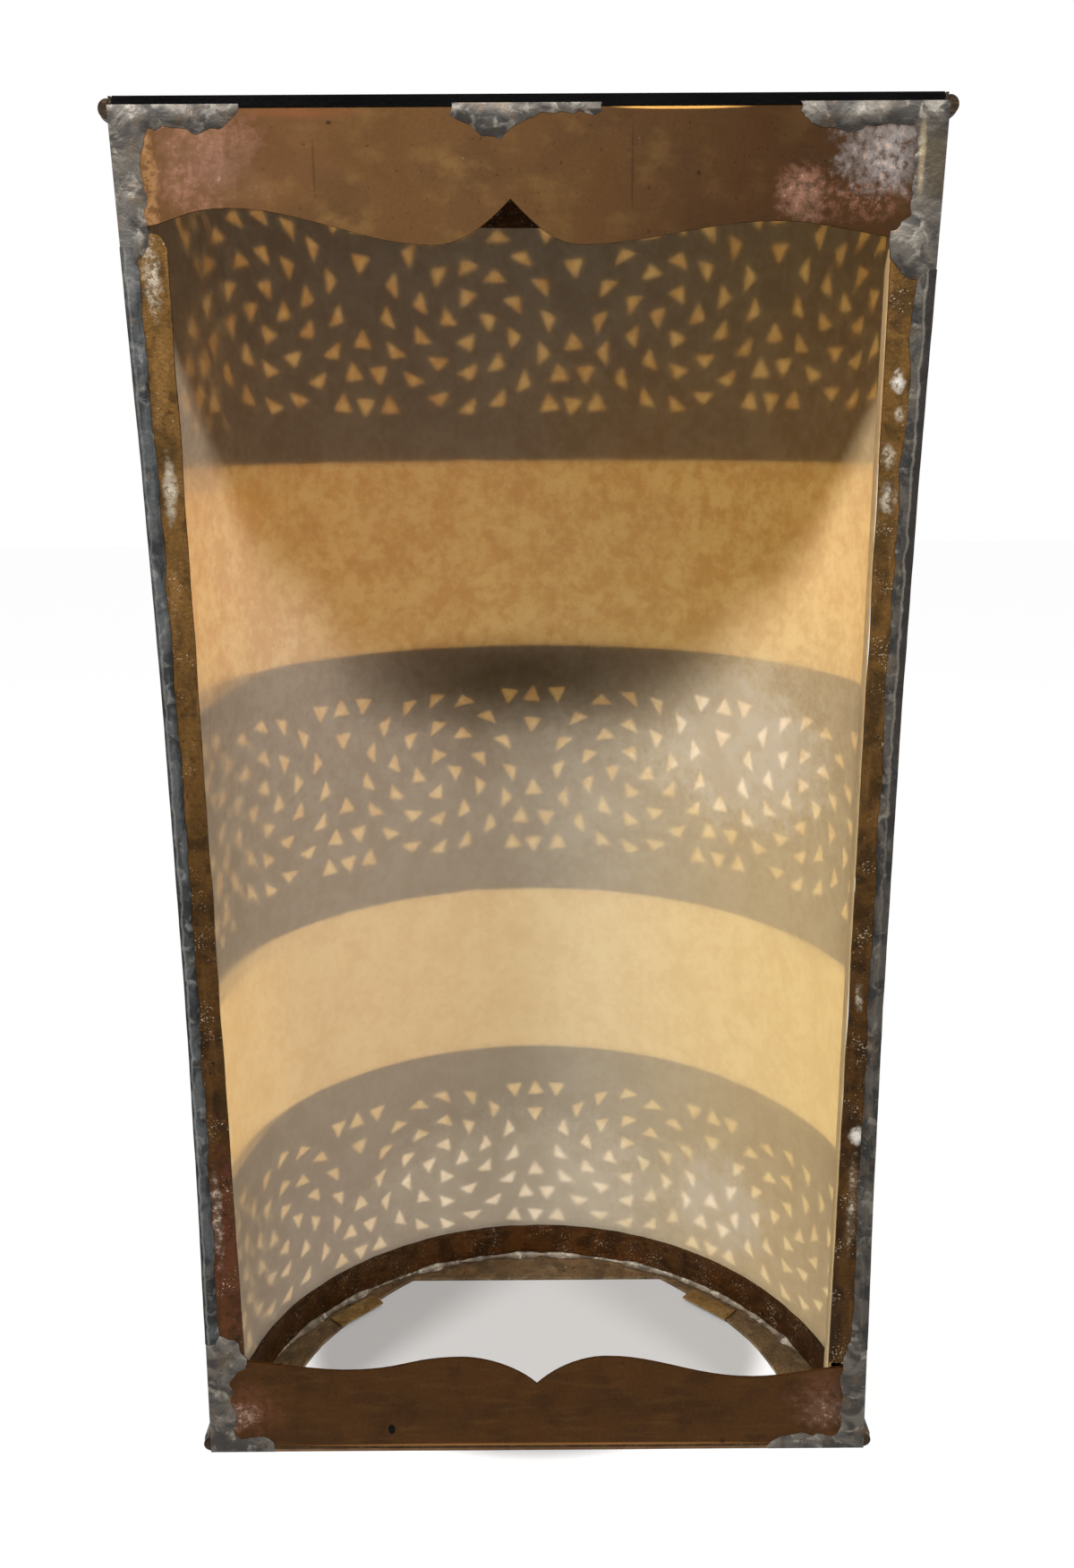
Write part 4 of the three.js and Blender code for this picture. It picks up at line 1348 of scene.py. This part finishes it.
seamSettings = {
    "rows": 0.0012,
    "across": 9,
    "overlap": 0.002,
    "rises": 0.35,
    "falls": 0.75,
    "wander": 0.001,
    "fine": 0.0004,
    "lumps": {"large": 0.38, "small": 0.08, "grain": 0.0026, "thinnest": 0.15},
    "under": 0.001,
    "width": {-1: 0.0057, 1: 0.0047},
}


def makeSeam(name, node, side, finish):
    s = seamSettings
    low, high = levels(node)
    rows = spread(low - s["overlap"], high + s["overlap"], s["rows"])

    def crossed(t, z):
        ragged = s["wander"] * (unevenness(side * 5.0, 0.0, z, 0.012) + unevenness(side * 2.0, 0.0, z, 0.028))
        ragged += s["fine"] * unevenness(side * 8.0, 0.0, z, 0.003)
        inner = cornerEdge - s["width"][side] - ragged
        return inner + (cornerEdge - inner) * t

    def face(t, z):
        x = crossed(t, z)
        crown = smooth(t, 0.0, s["rises"]) * (1 - s["rises"] * smooth(t, s["falls"], 1.0))
        return mirrored(side, inCorner(x, standing(crown, s["lumps"], side * x, z, 1.0, 4.0), z))

    def under(t, z):
        return mirrored(side, inCorner(crossed(t, z), -s["under"], z))

    pattern = gridPattern(spread(0.0, 1.0, 1 / s["across"]), rows)
    made = slab(pattern, face, under) if side < 0 else slab(pattern, under, face)
    addPiece(name, *made, finish, [node], "solder", 60)


makeSeam("leftSeamLump", "left_seam_solder", -1, leftSeamFinish)
makeSeam("rightSeamLump", "right_seam_solder", 1, rightSeamFinish)

beadSettings = {
    "rise": 0.0018,
    "run": 0.0034,
    "reach": 66,
    "size": (0.5, 0.7, 0.3),
    "smallest": 0.2,
    "ends": (-0.004, 0.01),
    "step": 0.0012,
    "foot": 0.02,
}


def makeBead():
    s = beadSettings
    low = levels("strip_foot_solder")[0]
    reach = math.radians(s["reach"]) * shell["radius"]
    inset = stripInset + shell["stripSkin"] + shell["gap"]

    def bulge(lift):
        def place(along, t):
            even, large, small = s["size"]
            size = even + large * unevenness(along, 0.0, 3.0, 0.013)
            size += small * unevenness(along, 0.0, 6.0, 0.0035)
            size = max(s["smallest"], min(1.0, size)) * smooth(reach - abs(along), *s["ends"])
            angle = t * math.pi / 2
            run = size * s["run"] * (1 - math.sin(angle)) * lift
            rise = size * s["rise"] * (1 - math.cos(angle)) * lift
            x, y = planPoint(along, inset + sheetDrift(along) + run)
            return Vector((x, y, low + rise))

        return place

    pattern = gridPattern(spread(-reach, reach, s["step"]), spread(0.0, 1.0, 0.2))
    skins = slab(pattern, bulge(s["foot"]), bulge(1.0))
    addPiece("stripFootBead", *skins, beadFinish, ["strip_foot_solder"], "solder", 70)


makeBead()
print("solder made")

# Stage, light and camera
stageSettings = {
    "floorSize": 8.0,
    "floorGap": 0.0002,
    "floorRoughness": 0.9,
    "floorGlow": 0.97,
    "shadedGlow": 0.2,
    "shadeCentre": (0.0, -0.06, 0.0),
    "shadeReach": (0.098, 0.072, 1.0),
    "shadeEdge": (0.82, 1.02),
    "floorSeen": (0.9, 0.9, 0.9, 1.0),
    "floorShaded": (0.24, 0.236, 0.232, 1.0),
    "floorBounce": (0.2, 0.2, 0.2, 1.0),
}


def seenRay(wires):
    # 1 for rays that only show the backdrop: straight to the camera, in a reflection or through glass
    path = wires.add("LightPath").outputs
    both = wires.math("MAXIMUM", path["Is Camera Ray"], path["Is Glossy Ray"])
    return wires.math("MAXIMUM", both, path["Is Transmission Ray"])


def makeFloor(s):
    mesh = bpy.data.meshes.new("studioFloor")
    half = s["floorSize"] / 2
    corners = ((-half, -half), (half, -half), (half, half), (-half, half))
    mesh.from_pydata([(x, y, baseLevel - s["floorGap"]) for x, y in corners], [], [(0, 1, 2, 3)])
    inScene("studioFloor", mesh)
    material, wires, shader, place = newMaterial("paleFloor")
    shader.inputs["Roughness"].default_value = s["floorRoughness"]
    lit = wires.add("Emission", {"Color": white, "Strength": 1.0}).outputs[0]
    offset = wires.vector("SUBTRACT", place, s["shadeCentre"])[0]
    part = wires.vector("DIVIDE", offset, s["shadeReach"])[0]
    away = wires.vector("LENGTH", wires.stretch(part, (1.0, 1.0, 0.0)))["Value"]
    clear = wires.step(away, *s["shadeEdge"])
    seenTone = wires.mix(clear, s["floorShaded"], s["floorSeen"])
    wires.feed(shader.inputs["Base Color"], wires.mix(seenRay(wires), s["floorBounce"], seenTone))
    glow = wires.step(clear, 0.0, 1.0, s["shadedGlow"], s["floorGlow"])
    glowShare = wires.times(seenRay(wires), glow)
    above = wires.add("MixShader", {0: glowShare, 1: shader.outputs[0], 2: lit}).outputs[0]
    # Clear from below, so that the underside of the sconce can be seen
    fromBelow = wires.add("NewGeometry").outputs["Backfacing"]
    below = wires.add("BsdfTransparent").outputs[0]
    surface(wires, wires.add("MixShader", {0: fromBelow, 1: above, 2: below}).outputs[0])
    mesh.materials.append(material)


makeFloor(stageSettings)

worldSettings = {"front": 0.22, "behind": 0.035, "turnsAt": (-0.35, 0.3), "color": (1.0, 0.985, 0.96, 1.0)}


def makeWorld(s):
    world = bpy.data.worlds.new("paleStudio")
    bpy.context.scene.world = world
    world.use_nodes = True
    wires = Wiring(world.node_tree)
    towardsFront = wires.axes(wires.add("TexCoord").outputs["Generated"])["Y"]
    soft = world.node_tree.nodes["Background"]
    soft.inputs["Color"].default_value = s["color"]
    wires.feed(soft.inputs["Strength"], wires.step(towardsFront, *s["turnsAt"], s["front"], s["behind"]))
    plain = wires.add("Background", {"Color": white, "Strength": 1.0}).outputs[0]
    surface(wires, wires.add("MixShader", {0: seenRay(wires), 1: soft.outputs[0], 2: plain}).outputs[0])


makeWorld(worldSettings)

# Three lamps behind the camera light the inside, at heights that put the top plate's shadow in one place.
# Three more beyond the sconce shine through its piercings.
backLamp = {"elevation": 55.7, "distance": 2.5, "size": 0.28, "power": 17, "aim": (0.0, 0.0, -0.018)}
sideLamp = {**backLamp, "elevation": 46.8, "size": 0.36}
frontLamp = {"elevation": 10, "distance": 1.5, "size": 0.35, "aim": (0.0, -0.05, -0.2)}


def addLamp(name, settings):
    data = bpy.data.lights.new(name, "AREA")
    data.shape = "DISK"
    data.size = settings["size"]
    data.energy = settings["power"]
    lamp = inScene(name, data)
    aim = Vector(settings["aim"])
    lift = math.radians(settings["elevation"])
    swing = math.radians(settings.get("swing", 0))
    offset = Vector((math.sin(swing) * math.cos(lift), math.cos(swing) * math.cos(lift), math.sin(lift)))
    lamp.location = aim + settings["distance"] * offset
    lamp.rotation_mode = "QUATERNION"
    lamp.rotation_quaternion = (-offset).to_track_quat("-Z", "Y")
    return lamp


addLamp("backLamp", backLamp)
addLamp("backLeftLamp", {**sideLamp, "swing": -43.5, "power": 61})
addLamp("backRightLamp", {**sideLamp, "swing": 43.5, "power": 110})
frontLamps = {"frontLamp": (180, 3.8), "frontLeftLamp": (242, 1.7), "frontRightLamp": (118, 3.7)}
for lampName, (swing, power) in frontLamps.items():
    addLamp(lampName, {**frontLamp, "swing": swing, "power": power}).visible_camera = False

# The camera stands behind the sconce, a little above its middle, and looks down into the open back
cameraSettings = {
    "place": (-0.0005, 0.4014, 0.346),  # height above the sconce's foot
    "pitch": 14.55,
    "yaw": -0.1,
    "roll": 0.33,
    "lens": 31.05,
    "sensor": 36,
}


def addCamera(settings):
    data = bpy.data.cameras.new("photoCamera")
    data.lens = settings["lens"]
    data.sensor_width = settings["sensor"]
    camera = inScene("photoCamera", data)
    pitch, yaw, roll = (math.radians(settings[k]) for k in ("pitch", "yaw", "roll"))
    right = Vector((-math.cos(yaw), -math.sin(yaw), 0))
    up = Vector((math.sin(pitch) * math.sin(yaw), -math.sin(pitch) * math.cos(yaw), math.cos(pitch)))
    right, up = right * math.cos(roll) - up * math.sin(roll), right * math.sin(roll) + up * math.cos(roll)
    axes = Matrix((right, up, right.cross(up))).transposed().to_4x4()
    axes.translation = Vector(settings["place"]) + Vector((0, 0, baseLevel))
    camera.matrix_world = axes
    bpy.context.scene.camera = camera


addCamera(cameraSettings)
bpy.context.scene.view_settings.view_transform = "Standard"
print("stage, light and camera made")
